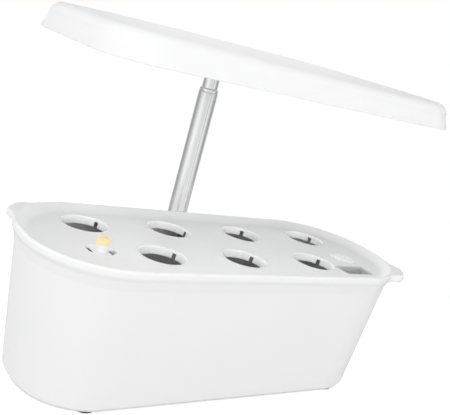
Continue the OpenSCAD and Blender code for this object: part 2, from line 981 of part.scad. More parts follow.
centred() cover_screws();
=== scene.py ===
# %% [markdown]
# # A countertop hydroponic garden
# This lesson dresses a finished set of garden parts for a picture: a white water tub, a
# lift-off grow deck with seven pod rings, a float, a button, and a flat grow lamp on a
# telescopic mast. The parts come from a fixed frame, in metres, with Z up. Each cell
# makes one piece or one finish, says why it is made that way, and prints what it made.

# %% Load the frame
import math

import bmesh
import bpy
from mathutils import Matrix, Vector
from mathutils.geometry import tessellate_polygon


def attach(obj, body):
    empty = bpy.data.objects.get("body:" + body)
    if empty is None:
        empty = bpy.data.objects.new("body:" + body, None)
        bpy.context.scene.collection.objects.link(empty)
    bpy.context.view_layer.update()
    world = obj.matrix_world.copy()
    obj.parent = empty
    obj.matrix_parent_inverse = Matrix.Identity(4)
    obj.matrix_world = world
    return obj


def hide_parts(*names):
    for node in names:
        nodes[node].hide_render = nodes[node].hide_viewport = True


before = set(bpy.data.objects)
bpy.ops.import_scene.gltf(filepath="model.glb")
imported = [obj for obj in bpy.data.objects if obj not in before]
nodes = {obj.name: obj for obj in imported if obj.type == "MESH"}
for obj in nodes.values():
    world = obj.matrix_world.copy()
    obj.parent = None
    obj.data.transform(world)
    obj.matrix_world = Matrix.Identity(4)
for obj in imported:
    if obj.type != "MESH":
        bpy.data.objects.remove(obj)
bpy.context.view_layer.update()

# %% [markdown]
# ## The camera
# The picture is taken from the front left, a little above the lamp, with the camera tilted
# to one side. Building the camera from three plain angles keeps the tilt easy to read: it
# looks along one direction, and is then rolled about that direction.

# %% Camera
MM = 0.001
CAMERA_PLACE = (-0.37507, -0.48621, 0.29715)
LOOK_TURN, LOOK_DOWN, ROLL = 37.583, 13.579, 15.574
FOCAL_LENGTH = 58.54


def add_camera():
    turn, down, roll = (math.radians(a) for a in (LOOK_TURN, LOOK_DOWN, ROLL))
    ahead = Vector((math.sin(turn) * math.cos(down), math.cos(turn) * math.cos(down), -math.sin(down)))
    side = Vector((math.cos(turn), -math.sin(turn), 0))
    above = side.cross(ahead)
    right = side * math.cos(roll) + above * math.sin(roll)
    up = above * math.cos(roll) - side * math.sin(roll)
    data = bpy.data.cameras.new("camera")
    data.lens = FOCAL_LENGTH
    data.sensor_width = 36
    data.clip_start = 0.01
    camera = bpy.data.objects.new("camera", data)
    camera.matrix_world = Matrix((
        (right.x, up.x, -ahead.x, CAMERA_PLACE[0]),
        (right.y, up.y, -ahead.y, CAMERA_PLACE[1]),
        (right.z, up.z, -ahead.z, CAMERA_PLACE[2]),
        (0, 0, 0, 1)))
    bpy.context.scene.collection.objects.link(camera)
    bpy.context.scene.camera = camera
    return camera


camera = add_camera()
print("camera lens", round(camera.data.lens, 2), "mm at", CAMERA_PLACE)

# %% [markdown]
# ## Floor and light
# A studio shot of a white thing on white needs soft light from all round, with a little
# more from one side so that edges still read. The world gives the even part, and five
# area lamps give the direction. The floor is pale and keeps the shadow; only what
# the camera and the mirrors see of the surroundings is pure white.

# %% Floor, backdrop and lamps
HORIZON_LIGHT, OVERHEAD_LIGHT = 1.0, 0.085
FRONT_SHARE, BACK_SHARE = 0.4, 4.2
FLOOR_FADE = (0.24, 0.6)


def add_world():
    world = bpy.data.worlds.new("studio")
    bpy.context.scene.world = world
    world.use_nodes = True
    tree = world.node_tree
    tree.nodes.clear()
    path = tree.nodes.new("ShaderNodeLightPath")
    seen = tree.nodes.new("ShaderNodeMath")
    seen.operation = "MAXIMUM"
    also = tree.nodes.new("ShaderNodeMath")
    also.operation = "MAXIMUM"
    tree.links.new(path.outputs["Is Camera Ray"], seen.inputs[0])
    tree.links.new(path.outputs["Is Transmission Ray"], seen.inputs[1])
    tree.links.new(seen.outputs[0], also.inputs[0])
    tree.links.new(path.outputs["Is Glossy Ray"], also.inputs[1])
    soft = tree.nodes.new("ShaderNodeBackground")
    soft.inputs["Color"].default_value = (1, 1, 1, 1)
    sky = tree.nodes.new("ShaderNodeTexCoord")
    height = tree.nodes.new("ShaderNodeSeparateXYZ")
    fade = tree.nodes.new("ShaderNodeMapRange")
    fade.inputs["From Min"].default_value = 0.0
    fade.inputs["From Max"].default_value = 0.7
    fade.inputs["To Min"].default_value = HORIZON_LIGHT
    fade.inputs["To Max"].default_value = OVERHEAD_LIGHT
    tree.links.new(sky.outputs["Generated"], height.inputs[0])
    tree.links.new(height.outputs["Z"], fade.inputs["Value"])
    side = tree.nodes.new("ShaderNodeMapRange")
    side.inputs["From Min"].default_value = -1.0
    side.inputs["From Max"].default_value = 1.0
    side.inputs["To Min"].default_value = FRONT_SHARE
    side.inputs["To Max"].default_value = BACK_SHARE
    both = tree.nodes.new("ShaderNodeMath")
    both.operation = "MULTIPLY"
    tree.links.new(height.outputs["Y"], side.inputs["Value"])
    tree.links.new(fade.outputs["Result"], both.inputs[0])
    tree.links.new(side.outputs["Result"], both.inputs[1])
    tree.links.new(both.outputs[0], soft.inputs["Strength"])
    white = tree.nodes.new("ShaderNodeBackground")
    white.inputs["Color"].default_value = (1, 1, 1, 1)
    white.inputs["Strength"].default_value = 1.0
    mix = tree.nodes.new("ShaderNodeMixShader")
    out = tree.nodes.new("ShaderNodeOutputWorld")
    tree.links.new(also.outputs[0], mix.inputs[0])
    tree.links.new(soft.outputs[0], mix.inputs[1])
    tree.links.new(white.outputs[0], mix.inputs[2])
    tree.links.new(mix.outputs[0], out.inputs["Surface"])


def add_softbox(name, place, aim, size, power):
    data = bpy.data.lights.new(name, "AREA")
    data.shape = "RECTANGLE"
    data.size, data.size_y = size
    data.energy = power
    lamp = bpy.data.objects.new(name, data)
    lamp.location = place
    lamp.rotation_euler = (Vector(aim) - Vector(place)).to_track_quat("-Z", "Y").to_euler()
    bpy.context.scene.collection.objects.link(lamp)


def add_floor():
    bpy.ops.mesh.primitive_circle_add(vertices=96, radius=6, fill_type="NGON", location=(0, 0, -0.0004))
    floor = bpy.context.object
    floor.name = "floor"
    mat = bpy.data.materials.new("studio_floor")
    mat.use_nodes = True
    tree = mat.node_tree
    shader = tree.nodes["Principled BSDF"]
    shader.inputs["Base Color"].default_value = (0.6, 0.6, 0.6, 1)
    shader.inputs["Roughness"].default_value = 0.9
    glow = tree.nodes.new("ShaderNodeEmission")
    glow.inputs["Strength"].default_value = 0.75
    white = tree.nodes.new("ShaderNodeEmission")
    white.inputs["Strength"].default_value = 1.0
    path = tree.nodes.new("ShaderNodeLightPath")
    both = tree.nodes.new("ShaderNodeAddShader")
    far = tree.nodes.new("ShaderNodeMixShader")
    mix = tree.nodes.new("ShaderNodeMixShader")
    place = tree.nodes.new("ShaderNodeTexCoord")
    length = tree.nodes.new("ShaderNodeVectorMath")
    length.operation = "LENGTH"
    fade = tree.nodes.new("ShaderNodeMapRange")
    fade.interpolation_type = "SMOOTHSTEP"
    fade.inputs["From Min"].default_value, fade.inputs["From Max"].default_value = FLOOR_FADE
    out = tree.nodes["Material Output"]
    tree.links.new(place.outputs["Object"], length.inputs[0])
    tree.links.new(length.outputs["Value"], fade.inputs["Value"])
    tree.links.new(shader.outputs[0], both.inputs[0])
    tree.links.new(glow.outputs[0], both.inputs[1])
    tree.links.new(fade.outputs["Result"], far.inputs[0])
    tree.links.new(both.outputs[0], far.inputs[1])
    tree.links.new(white.outputs[0], far.inputs[2])
    tree.links.new(path.outputs["Is Camera Ray"], mix.inputs[0])
    tree.links.new(shader.outputs[0], mix.inputs[1])
    tree.links.new(far.outputs[0], mix.inputs[2])
    tree.links.new(mix.outputs[0], out.inputs["Surface"])
    floor.data.materials.append(mat)


add_world()
add_floor()
add_softbox("key_softbox", (-1.5, -2.0, 0.9), (0, 0, 0.15), (2.4, 1.2), 15.5)
add_softbox("front_softbox", (0.2, -2.4, 0.7), (0, 0, 0.12), (2.4, 1.0), 22.5)
add_softbox("high_softbox", (0, -0.75, 2.3), (0, -0.05, 0.12), (1.3, 1.0), 9)
add_softbox("left_softbox", (-1.5, -0.3, 2.0), (-0.1, 0, 0.12), (1.2, 1.0), 9.5)
add_softbox("right_softbox", (1.9, -1.2, 0.8), (0, 0, 0.15), (1.4, 1.2), 2.5)
bpy.context.scene.view_settings.view_transform = "Standard"
print("studio: world", HORIZON_LIGHT, "to", OVERHEAD_LIGHT, "and softboxes")


# %% [markdown]
# ## Sizes and small tools
# The sizes below are the ones the solid parts are made from, in millimetres, measured from
# the middle of the tub. Keeping them in millimetres makes them easy to check with a ruler;
# `place_points` turns them into metres and moves the tub to its place in the frame.

# %% Sizes of the garden
ROW_SHIFT = 10.0
RIM_L, RIM_W, RIM_R = 363.0, 147.0, 67.5
DECK_Z, DECK_T, RIM_H, SKIRT = 116.5, 2.5, 5.6, 3.0
WALL_IN, TUB_DRAFT, TUB_T, TUB_TOP = 3.2, 10.4, 2.5, 117.7
POD_R, COLLAR_T, COLLAR_H = 18.6, 1.2, 6.3
POD_PITCH, POD_SHIFT, ROW_BACK, ROW_FRONT = 80.0, 5.8, 36.0, -25.3
MAST_Y, MAST_R, MAST_T, MAST_TOP, ROD_R, ROD_T = 81.0, 9.0, 1.0, 239.0, 7.3, 0.9
LAMP_L, LAMP_W, LAMP_R, LAMP_Y, LAMP_Z, LAMP_H = 346.0, 160.0, 36.0, 12.0, 260.5, 22.0
FLOAT_AT, KEY_AT, PORT_AT = (-125.0, -20.0), (134.0, -13.0), (122.5, -42.5)
PODS = [((i - 1.5) * POD_PITCH + POD_SHIFT, ROW_BACK) for i in range(4)]
PODS += [((i - 1) * POD_PITCH + POD_SHIFT, ROW_FRONT) for i in range(3)]
POD_NAMES = ["b1", "b2", "b3", "b4", "f1", "f2", "f3"]
print("pods at", [tuple(round(v, 1) for v in p) for p in PODS])


# %% Mesh tools
def place_points(points):
    return [(x * MM, (y - ROW_SHIFT) * MM, z * MM) for x, y, z in points]


def finish_mesh(piece, sharp=32):
    """Merge doubles, turn faces outwards, and smooth every edge flatter than `sharp`."""
    bm = bmesh.new()
    bm.from_mesh(piece.data)
    bmesh.ops.remove_doubles(bm, verts=bm.verts, dist=0.00001)
    bmesh.ops.dissolve_degenerate(bm, edges=bm.edges, dist=0.000005)
    bmesh.ops.recalc_face_normals(bm, faces=bm.faces)
    for face in bm.faces:
        face.smooth = True
    for edge in bm.edges:
        edge.smooth = len(edge.link_faces) == 2 and edge.calc_face_angle(0) < math.radians(sharp)
    bm.to_mesh(piece.data)
    bm.free()


def make_piece(name, verts, faces, finish, sharp=32):
    mesh = bpy.data.meshes.new(name)
    mesh.from_pydata(place_points(verts), [], faces)
    piece = bpy.data.objects.new(name, mesh)
    bpy.context.scene.collection.objects.link(piece)
    mesh.materials.append(finish)
    finish_mesh(piece, sharp)
    return piece


def carry(piece, body, slot, *stands_for):
    """Let a piece ride on its body, and hide the solids it stands for. `slot` is not used."""
    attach(piece, body)
    if stands_for:
        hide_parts(*stands_for)
    print(piece.name, "rides on", body, "-", len(piece.data.polygons), "faces")
    return piece


def soften(points, radii, steps=5):
    """Round the inner corners of an open outline; `radii` has one value per point."""
    out = []
    for k, (x, y) in enumerate(points):
        r = radii[k]
        if not r or k in (0, len(points) - 1):
            out.append((x, y))
            continue
        here = Vector((x, y))
        a, b = Vector(points[k - 1]) - here, Vector(points[k + 1]) - here
        half = a.angle(b) / 2
        reach = min(r / math.tan(half), a.length * 0.49, b.length * 0.49)
        r = reach * math.tan(half)
        centre = here + (a.normalized() + b.normalized()).normalized() * (r / math.sin(half))
        start, end = here + a.normalized() * reach, here + b.normalized() * reach
        s, e = start - centre, end - centre
        turn = math.atan2(s.x * e.y - s.y * e.x, s.dot(e))
        for i in range(steps + 1):
            t = turn * i / steps
            out.append((centre.x + s.x * math.cos(t) - s.y * math.sin(t),
                        centre.y + s.x * math.sin(t) + s.y * math.cos(t)))
    return out


def skin(rings, round_trip=True, join_ends=False, caps=(False, False)):
    """Faces between equal rings of points; `join_ends` closes the last ring on the first."""
    count = len(rings[0])
    verts = [p for ring in rings for p in ring]
    faces = []
    last = len(rings) if join_ends else len(rings) - 1
    for r in range(last):
        a, b = r * count, ((r + 1) % len(rings)) * count
        for k in range(count if round_trip else count - 1):
            n = (k + 1) % count
            faces.append((a + k, a + n, b + n, b + k))
    if caps[0]:
        faces.append(tuple(range(count)))
    if caps[1]:
        faces.append(tuple(range((len(rings) - 1) * count, len(rings) * count)))
    return verts, faces


def turn_profile(profile, centre, steps=96, from_angle=0, to_angle=360):
    """Spin an outline of (radius, height) points about a vertical axis at `centre`."""
    whole = to_angle - from_angle >= 360
    count = steps if whole else steps + 1
    rings = []
    for k in range(count):
        a = math.radians(from_angle + (to_angle - from_angle) * k / steps)
        rings.append([(centre[0] + r * math.cos(a), centre[1] + r * math.sin(a), z) for r, z in profile])
    return rings, whole


def lathe(name, profile, centre, finish, steps=96, sharp=32):
    """A turned piece from a closed outline; an outline that touches the axis closes there."""
    rings, whole = turn_profile(profile, centre, steps)
    verts, faces = skin(rings, join_ends=whole)
    return make_piece(name, verts, faces, finish, sharp)


def add_solids(*solids):
    """Put several vertex and face lists into one."""
    verts, faces = [], []
    for v, f in solids:
        faces += [tuple(i + len(verts) for i in face) for face in f]
        verts += v
    return verts, faces


print("mesh tools ready")

# %% [markdown]
# ## Finishes
# Nearly everything here is moulded plastic, so one helper makes a plastic with the small
# faults a real moulding has: a faint change of tone over some centimetres, a gloss that is
# not even, and the very fine orange-peel texture that a polished mould leaves. Metals get
# their own helper, because a drawn tube has long fine lines along its length. All the
# patterns use Object coordinates, so they stay on the piece when it moves.


# %% Plastic and metal finishes
def start_finish(name):
    mat = bpy.data.materials.new(name)
    mat.use_nodes = True
    tree = mat.node_tree
    return mat, tree, tree.nodes["Principled BSDF"]


def pattern(tree, size, stretch=(1, 1, 1), detail=4.0):
    """Noise of a given size in metres on Object coordinates, stretched along the axes."""
    place = tree.nodes.new("ShaderNodeTexCoord")
    scale = tree.nodes.new("ShaderNodeMapping")
    scale.inputs["Scale"].default_value = stretch
    noise = tree.nodes.new("ShaderNodeTexNoise")
    noise.inputs["Scale"].default_value = 1.0 / size
    noise.inputs["Detail"].default_value = detail
    tree.links.new(place.outputs["Object"], scale.inputs["Vector"])
    tree.links.new(scale.outputs["Vector"], noise.inputs["Vector"])
    return noise.outputs["Fac"]


def vary_colour(tree, shader, colour, change, source):
    mix = tree.nodes.new("ShaderNodeMix")
    mix.data_type = "RGBA"
    mix.inputs[6].default_value = tuple(max(0.0, c - change) for c in colour) + (1,)
    mix.inputs[7].default_value = tuple(min(1.0, c + change) for c in colour) + (1,)
    tree.links.new(source, mix.inputs[0])
    tree.links.new(mix.outputs[2], shader.inputs["Base Color"])


def vary_roughness(tree, shader, low, high, source):
    span = tree.nodes.new("ShaderNodeMapRange")
    span.inputs["From Min"].default_value = 0.3
    span.inputs["From Max"].default_value = 0.7
    span.inputs["To Min"].default_value = low
    span.inputs["To Max"].default_value = high
    tree.links.new(source, span.inputs["Value"])
    tree.links.new(span.outputs["Result"], shader.inputs["Roughness"])


def add_grain(tree, shader, height, source):
    bump = tree.nodes.new("ShaderNodeBump")
    bump.inputs["Strength"].default_value = 0.35
    bump.inputs["Distance"].default_value = height
    tree.links.new(source, bump.inputs["Height"])
    tree.links.new(bump.outputs["Normal"], shader.inputs["Normal"])


def moulded(name, colour, gloss=(0.3, 0.42), change=0.008, grain=0.00006, grain_size=0.0009):
    mat, tree, shader = start_finish(name)
    vary_colour(tree, shader, colour, change, pattern(tree, 0.05))
    vary_roughness(tree, shader, gloss[0], gloss[1], pattern(tree, 0.012))
    add_grain(tree, shader, grain, pattern(tree, grain_size, detail=2.0))
    return mat


def draw_out_gloss(tree, shader, amount):
    """Reflections on a tube polished round and round are drawn out along its length."""
    round_and_round = tree.nodes.new("ShaderNodeTangent")
    round_and_round.direction_type = "RADIAL"
    round_and_round.axis = "Z"
    shader.inputs["Anisotropic"].default_value = amount
    shader.inputs["Anisotropic Rotation"].default_value = 0.25
    tree.links.new(round_and_round.outputs["Tangent"], shader.inputs["Tangent"])


def drawn_metal(name, colour, gloss=(0.08, 0.16), stretch=(1, 1, 0.03), grain=0.00001, change=0.02):
    mat, tree, shader = start_finish(name)
    shader.inputs["Metallic"].default_value = 1.0
    vary_colour(tree, shader, colour, change, pattern(tree, 0.03))
    vary_roughness(tree, shader, gloss[0], gloss[1], pattern(tree, 0.004, stretch))
    add_grain(tree, shader, grain, pattern(tree, 0.0012, stretch, 2.0))
    return mat


tub_white = moulded("tub_white_plastic", (0.825, 0.825, 0.829))
deck_white = moulded("deck_white_plastic", (0.82, 0.82, 0.824))
# The rings' white plastic is made lighter than the deck's. Part of its lightness is painted light falling on the pod
# ring walls, the float recess and the button ring.
ring_white = moulded("ring_lit_white_plastic", (0.95, 0.95, 0.945), (0.2, 0.3))
stem_white = moulded("stem_white_plastic", (0.8, 0.8, 0.83), (0.3, 0.4))
lamp_white = moulded("lamp_white_plastic", (0.8, 0.8, 0.804), (0.34, 0.46))
# The refill chute is white plastic, and its grey is painted shade: it is darkened to the tone of the shade inside the
# port.
chute_painted_shade = moulded("chute_painted_shade_plastic", (0.6, 0.6, 0.61), (0.35, 0.5))
key_grey = moulded("key_pale_grey_plastic", (0.97, 0.972, 0.975), (0.22, 0.32), 0.004)
float_yellow = moulded("float_yellow_plastic", (0.88, 0.71, 0.36), (0.3, 0.4), 0.015)
float_foam = moulded("float_foam", (0.8, 0.79, 0.74), (0.7, 0.85), 0.02, 0.0003, 0.0016)
box_grey = moulded("box_grey_plastic", (0.68, 0.69, 0.7))
pump_black = moulded("pump_black_plastic", (0.02, 0.02, 0.022), (0.4, 0.55), 0.004, 0.00012)
bush_white = moulded("bush_plastic", (0.7, 0.7, 0.69), (0.4, 0.5))
strainer_grey = moulded("strainer_grey_plastic", (0.5, 0.51, 0.52))
foot_rubber = moulded("foot_rubber", (0.04, 0.04, 0.042), (0.65, 0.85), 0.008, 0.0002)
cup_rubber = moulded("cup_rubber", (0.08, 0.085, 0.09), (0.5, 0.65), 0.01)
pipe_cloudy = moulded("pipe_cloudy_plastic", (0.66, 0.71, 0.71), (0.2, 0.3))
board_green = moulded("board_green", (0.03, 0.13, 0.06), (0.3, 0.4), 0.01, 0.0001)
board_white = moulded("board_white", (0.82, 0.82, 0.8), (0.35, 0.45))
led_white = moulded("led_white_lens", (0.86, 0.78, 0.42), (0.15, 0.25), 0.03)
led_red = moulded("led_red_lens", (0.5, 0.06, 0.04), (0.15, 0.25), 0.03)
cover_milky = moulded("cover_milky_plastic", (0.84, 0.86, 0.86), (0.4, 0.55), 0.01)
polished = drawn_metal("polished_tube_metal", (0.92, 0.922, 0.93), (0.17, 0.21), (1, 1, 0.01), 0.000004, 0.012)
draw_out_gloss(polished.node_tree, polished.node_tree.nodes["Principled BSDF"], 0.9)
turned = drawn_metal("turned_socket_metal", (0.6, 0.61, 0.63), (0.22, 0.34), (1, 1, 20))
sheet = drawn_metal("plate_metal", (0.55, 0.56, 0.58), (0.35, 0.5), (0.05, 1, 1))
steel = drawn_metal("screw_metal", (0.5, 0.5, 0.51), (0.2, 0.32), (1, 1, 1))
print("finishes:", len(bpy.data.materials))

# %% [markdown]
# ## A sweep round a rounded rectangle
# The tub wall and the deck rim are the same idea: one cross-section carried round a long
# shape with round ends. Geometry Nodes do this well: the path is a rectangle with filleted
# corners, the cross-section is the mesh the modifier sits on, and Curve to Mesh carries
# one along the other. A change to one point of the cross-section changes the whole wall.


# %% The sweep tree
def socket_key(tree, name, kind, default=None):
    item = tree.interface.new_socket(name, in_out="INPUT", socket_type=kind)
    if default is not None:
        item.default_value = default
    return item.identifier


def sweep_tree():
    tree = bpy.data.node_groups.new("sweep_round_rectangle", "GeometryNodeTree")
    keys = {"outline": socket_key(tree, "Outline", "NodeSocketGeometry")}
    for name in ("Length", "Width", "Corner radius"):
        keys[name] = socket_key(tree, name, "NodeSocketFloat", 0.1)
    keys["Corner steps"] = socket_key(tree, "Corner steps", "NodeSocketInt", 24)
    keys["Finish"] = socket_key(tree, "Finish", "NodeSocketMaterial")
    tree.interface.new_socket("Swept", in_out="OUTPUT", socket_type="NodeSocketGeometry")
    add = tree.nodes.new
    given, out = add("NodeGroupInput"), add("NodeGroupOutput")
    path, fillet = add("GeometryNodeCurvePrimitiveQuadrilateral"), add("GeometryNodeFilletCurve")
    outline, sweep = add("GeometryNodeMeshToCurve"), add("GeometryNodeCurveToMesh")
    plain, dress = add("GeometryNodeRealizeInstances"), add("GeometryNodeSetMaterial")
    path.mode = "RECTANGLE"
    fillet.mode = "POLY"
    link = tree.links.new
    link(given.outputs["Length"], path.inputs["Width"])
    link(given.outputs["Width"], path.inputs["Height"])
    link(path.outputs["Curve"], fillet.inputs["Curve"])
    link(given.outputs["Corner steps"], fillet.inputs["Count"])
    link(given.outputs["Corner radius"], fillet.inputs["Radius"])
    link(given.outputs["Outline"], outline.inputs["Mesh"])
    link(fillet.outputs["Curve"], sweep.inputs["Curve"])
    link(outline.outputs["Curve"], sweep.inputs["Profile Curve"])
    link(sweep.outputs["Mesh"], plain.inputs["Geometry"])
    link(plain.outputs["Geometry"], dress.inputs["Geometry"])
    link(given.outputs["Finish"], dress.inputs["Material"])
    link(dress.outputs["Geometry"], out.inputs["Swept"])
    return tree, keys


def grown(piece):
    """Turn what a piece's modifiers make into its plain mesh, and take the modifiers off."""
    bpy.context.view_layer.update()
    seen = piece.evaluated_get(bpy.context.evaluated_depsgraph_get())
    mesh = bpy.data.meshes.new_from_object(seen)
    piece.modifiers.clear()
    piece.data = mesh
    return piece


SWEEP, SWEEP_KEYS = sweep_tree()


def sweep_wall(name, outline, length, width, radius, finish, steps=40):
    """Carry an outline of (inset, height) points round a rounded rectangle."""
    mesh = bpy.data.meshes.new(name)
    points = [(-inset * MM, -z * MM, 0) for inset, z in outline]
    mesh.from_pydata(points, [(k, k + 1) for k in range(len(points) - 1)], [])
    piece = bpy.data.objects.new(name, mesh)
    bpy.context.scene.collection.objects.link(piece)
    made = piece.modifiers.new("sweep", "NODES")
    made.node_group = SWEEP
    for key, value in (("Length", length * MM), ("Width", width * MM), ("Corner radius", radius * MM),
                       ("Corner steps", steps), ("Finish", finish)):
        made[SWEEP_KEYS[key]] = value
    grown(piece)
    piece.data.transform(Matrix.Translation((0, -ROW_SHIFT * MM, 0)))
    return piece


print("sweep tree:", len(SWEEP.nodes), "nodes")

# %% [markdown]
# ## The tub
# The real tub is one thin moulding that narrows towards the table. Its cross-section is
# followed from the middle of the inner floor, up the inner wall, over the rim and down the
# outside to the middle of the underside. The two open ends of the sweep are then filled.

# %% Tub
FOOT_H, FLOOR_T, BASE_EDGE, FLAT_IN = 2.0, 3.0, 3.0, 44.0
SHOULDER_Z, FOOT_R = DECK_Z - SKIRT - 0.1, 9.2


def fill_flat_loops(piece, sharp=32):
    """Close every open edge loop of a swept wall with one flat face."""
    bm = bmesh.new()
    bm.from_mesh(piece.data)
    bmesh.ops.remove_doubles(bm, verts=bm.verts, dist=0.00001)
    edges = [e for e in bm.edges if len(e.link_faces) == 1]
    bmesh.ops.holes_fill(bm, edges=edges, sides=0)
    bm.to_mesh(piece.data)
    bm.free()
    finish_mesh(piece, sharp)


tub_outline = soften(
    [(FLAT_IN, FOOT_H + FLOOR_T), (TUB_DRAFT + TUB_T, FOOT_H + FLOOR_T), (TUB_T, TUB_TOP), (0, TUB_TOP),
     (0, SHOULDER_Z), (-1.0, SHOULDER_Z), (0.85, SHOULDER_Z - 8), (TUB_DRAFT, FOOT_H + BASE_EDGE), (TUB_DRAFT + 1.8, FOOT_H), (FLAT_IN, FOOT_H)],
    [0, 5, 0.6, 0.8, 0, 0.2, 12, 3, 1.5, 0])
tub = sweep_wall("tub_moulding", tub_outline, RIM_L - 2 * WALL_IN, RIM_W - 2 * WALL_IN, RIM_R - WALL_IN, tub_white)
fill_flat_loops(tub)
carry(tub, "tub", "tub_white", "tub_shell")
foot_outline = soften([(0, 0), (FOOT_R, 0), (FOOT_R, 0.7), (7, FOOT_H), (3, FOOT_H), (3, FOOT_H + 1), (0, FOOT_H + 1)],
                      [0, 0.3, 1.5, 0, 0, 0, 0], 4)
feet = []
for sx, sy in ((-1, -1), (1, -1), (1, 1), (-1, 1)):
    rings, whole = turn_profile(foot_outline, (sx * (RIM_L / 2 - 58.5), sy * (RIM_W / 2 - 27)), 40)
    feet.append(skin(rings, join_ends=whole))
carry(make_piece("foot_pads", *add_solids(*feet), foot_rubber, 40), "tub", "foot_rubber", "rubber_feet")

# %% [markdown]
# ## The grow deck
# The deck is a flat plate inside a raised rim. The rim is swept like the tub, from the edge
# of the plate up its slope, over the crest and down the skirt. The plate is one flat
# outline with ten holes; Blender's polygon tessellator fills such a shape, which keeps the
# flat face free of long bent triangles. Two lifting ears grow out of opposite corners.

# %% Deck rim and plate
PLATE_IN = 14.2
PORT_L, PORT_W, KEY_R, FLOAT_CUP_R = 33.0, 17.0, 8.5, 12.0
SEAT_R = POD_R + COLLAR_T + 1.0


def ring_points(centre, radius, z, steps=72):
    return [(centre[0] + radius * math.cos(math.tau * k / steps),
             centre[1] + radius * math.sin(math.tau * k / steps), z) for k in range(steps)]


def slab_points(centre, length, width, radius, z, steps=8):
    points = []
    for quarter, (sx, sy) in enumerate(((1, 1), (-1, 1), (-1, -1), (1, -1))):
        for k in range(steps + 1):
            a = math.pi / 2 * (quarter + k / steps)
            points.append((centre[0] + sx * (length / 2 - radius) + radius * math.cos(a),
                           centre[1] + sy * (width / 2 - radius) + radius * math.sin(a), z))
    return points


def smooth_step(low, high, value):
    t = min(1.0, max(0.0, (value - low) / (high - low)))
    return t * t * (3 - 2 * t)


def plate_holes():
    holes = [(p, SEAT_R) for p in PODS] + [(FLOAT_AT, FLOAT_CUP_R), (KEY_AT, KEY_R + 2)]
    loops = [ring_points(c, r, DECK_Z) for c, r in holes]
    return loops + [slab_points(PORT_AT, PORT_L + 2, PORT_W + 2, 4, DECK_Z)]


def add_plate(piece):
    """Fill the rim with a plate of the right thickness that has a hole for each fitting."""
    bm = bmesh.new()
    bm.from_mesh(piece.data)
    bmesh.ops.remove_doubles(bm, verts=bm.verts, dist=0.00001)
    open_edges = [e for e in bm.edges if len(e.link_faces) == 1]
    loops = {}
    for edge in open_edges:
        for vert in edge.verts:
            loops.setdefault(round(vert.co.z, 5), set()).add(vert)
    levels = sorted(loops)
    for z in levels:
        rim = sorted(loops[z], key=lambda v: edge_angle(v.co))
        holes = [[bm.verts.new((x, y, z)) for x, y, _ in place_points(loop)] for loop in plate_holes()]
        every = [rim] + holes
        flat = [v for loop in every for v in loop]
        for tri in tessellate_polygon([[v.co.xy.to_3d() for v in loop] for loop in every]):
            bm.faces.new([flat[i] for i in tri])
        loops[z] = holes
    for low, high in zip(loops[levels[0]], loops[levels[1]]):
        for k in range(len(low)):
            n = (k + 1) % len(low)
            bm.faces.new((low[k], low[n], high[n], high[k]))
    bm.to_mesh(piece.data)
    bm.free()


def edge_angle(co):
    """The order of a point on the rounded rectangle, told by its angle about the middle."""
    return math.atan2((co.y + ROW_SHIFT * MM) * RIM_L / RIM_W, co.x)



RIM_CREST = 1.8
RIM_TOP_IN = 2.9
rim_slope = [(PLATE_IN + (RIM_TOP_IN - PLATE_IN) * k / 10, DECK_Z + (RIM_H - 0.15) * (k / 10) ** 1.8)
             for k in range(11)]
rim_outline = rim_slope[:-1] + soften(
    [rim_slope[-2], rim_slope[-1], (1.5, DECK_Z + RIM_H),
     (0.2, DECK_Z + RIM_H - RIM_CREST), (0.1, DECK_Z - SKIRT + 3.4), (1.3, DECK_Z - SKIRT + 0.1),
     (WALL_IN - 0.3, DECK_Z - SKIRT + 0.1),
     (WALL_IN - 0.3, TUB_TOP + 0.05), (WALL_IN + TUB_T + 0.4, TUB_TOP + 0.05),
     (WALL_IN + TUB_T + 0.4, DECK_Z - DECK_T), (PLATE_IN, DECK_Z - DECK_T)],
    [0, 1.4, 1.2, 1.6, 6, 0.4, 0, 0, 0, 0, 0])[1:]
deck = sweep_wall("deck_moulding", rim_outline, RIM_L, RIM_W, RIM_R, deck_white)
add_plate(deck)
finish_mesh(deck, 40)
print("deck:", len(deck.data.polygons), "faces before the ears")

# %% [markdown]
# The ears carry on from the crest of the rim. Seen from above each is a wide bump that
# flows out of the round end, so its outline is a smooth step out and back, and a thick
# band with rounded edges follows it.

# %% Lifting ears and the notch for the mast
EAR_OUT, EAR_TURN, EAR_T = {1: 10.6, -1: 8.2}, 42.5, 7.0


def ear(side):
    """One ear as a run of upright sections; side is 1 at the front right, -1 at the back left."""
    cx, cy = side * (RIM_L / 2 - RIM_R), -side * (RIM_W / 2 - RIM_R)
    middle = math.radians(-EAR_TURN if side > 0 else 180 - EAR_TURN)
    top = DECK_Z + RIM_H - 0.05
    rings = []
    for k in range(61):
        along = -26 + 52 * k / 60
        reach = RIM_R - 0.25 + (EAR_OUT[side] - 0.1) * (1 - smooth_step(6.5, 22, abs(along)))
        inner = RIM_R - 2.2
        a = middle + along / RIM_R
        edge = max(0.05, min(2.2, (reach - inner) * 0.45))
        section = [(inner, top)]
        for i in range(5):
            t = math.pi / 2 * i / 4
            section.append((reach - edge + edge * math.sin(t), top - edge + edge * math.cos(t)))
        low = min(1.9, edge)
        for i in range(4):
            t = math.pi / 2 * i / 3
            section.append((reach - low + low * math.cos(t), top - EAR_T + low - low * math.sin(t)))
        section.append((inner, top - EAR_T))
        rings.append([(cx + u * math.cos(a), cy + u * math.sin(a), z) for u, z in section])
    return skin(rings, caps=(True, True))


def join_into(piece, other):
    """Add another piece's faces to a piece, and take the other away."""
    bm = bmesh.new()
    bm.from_mesh(piece.data)
    bm.from_mesh(other.data)
    bm.to_mesh(piece.data)
    bm.free()
    bpy.data.objects.remove(other)


def cut_away(piece, cutter):
    """Take one closed shape out of another for good."""
    cut = piece.modifiers.new("cut", "BOOLEAN")
    cut.operation = "DIFFERENCE"
    cut.solver = "EXACT"
    cut.object = cutter
    grown(piece)
    bpy.data.objects.remove(cutter)


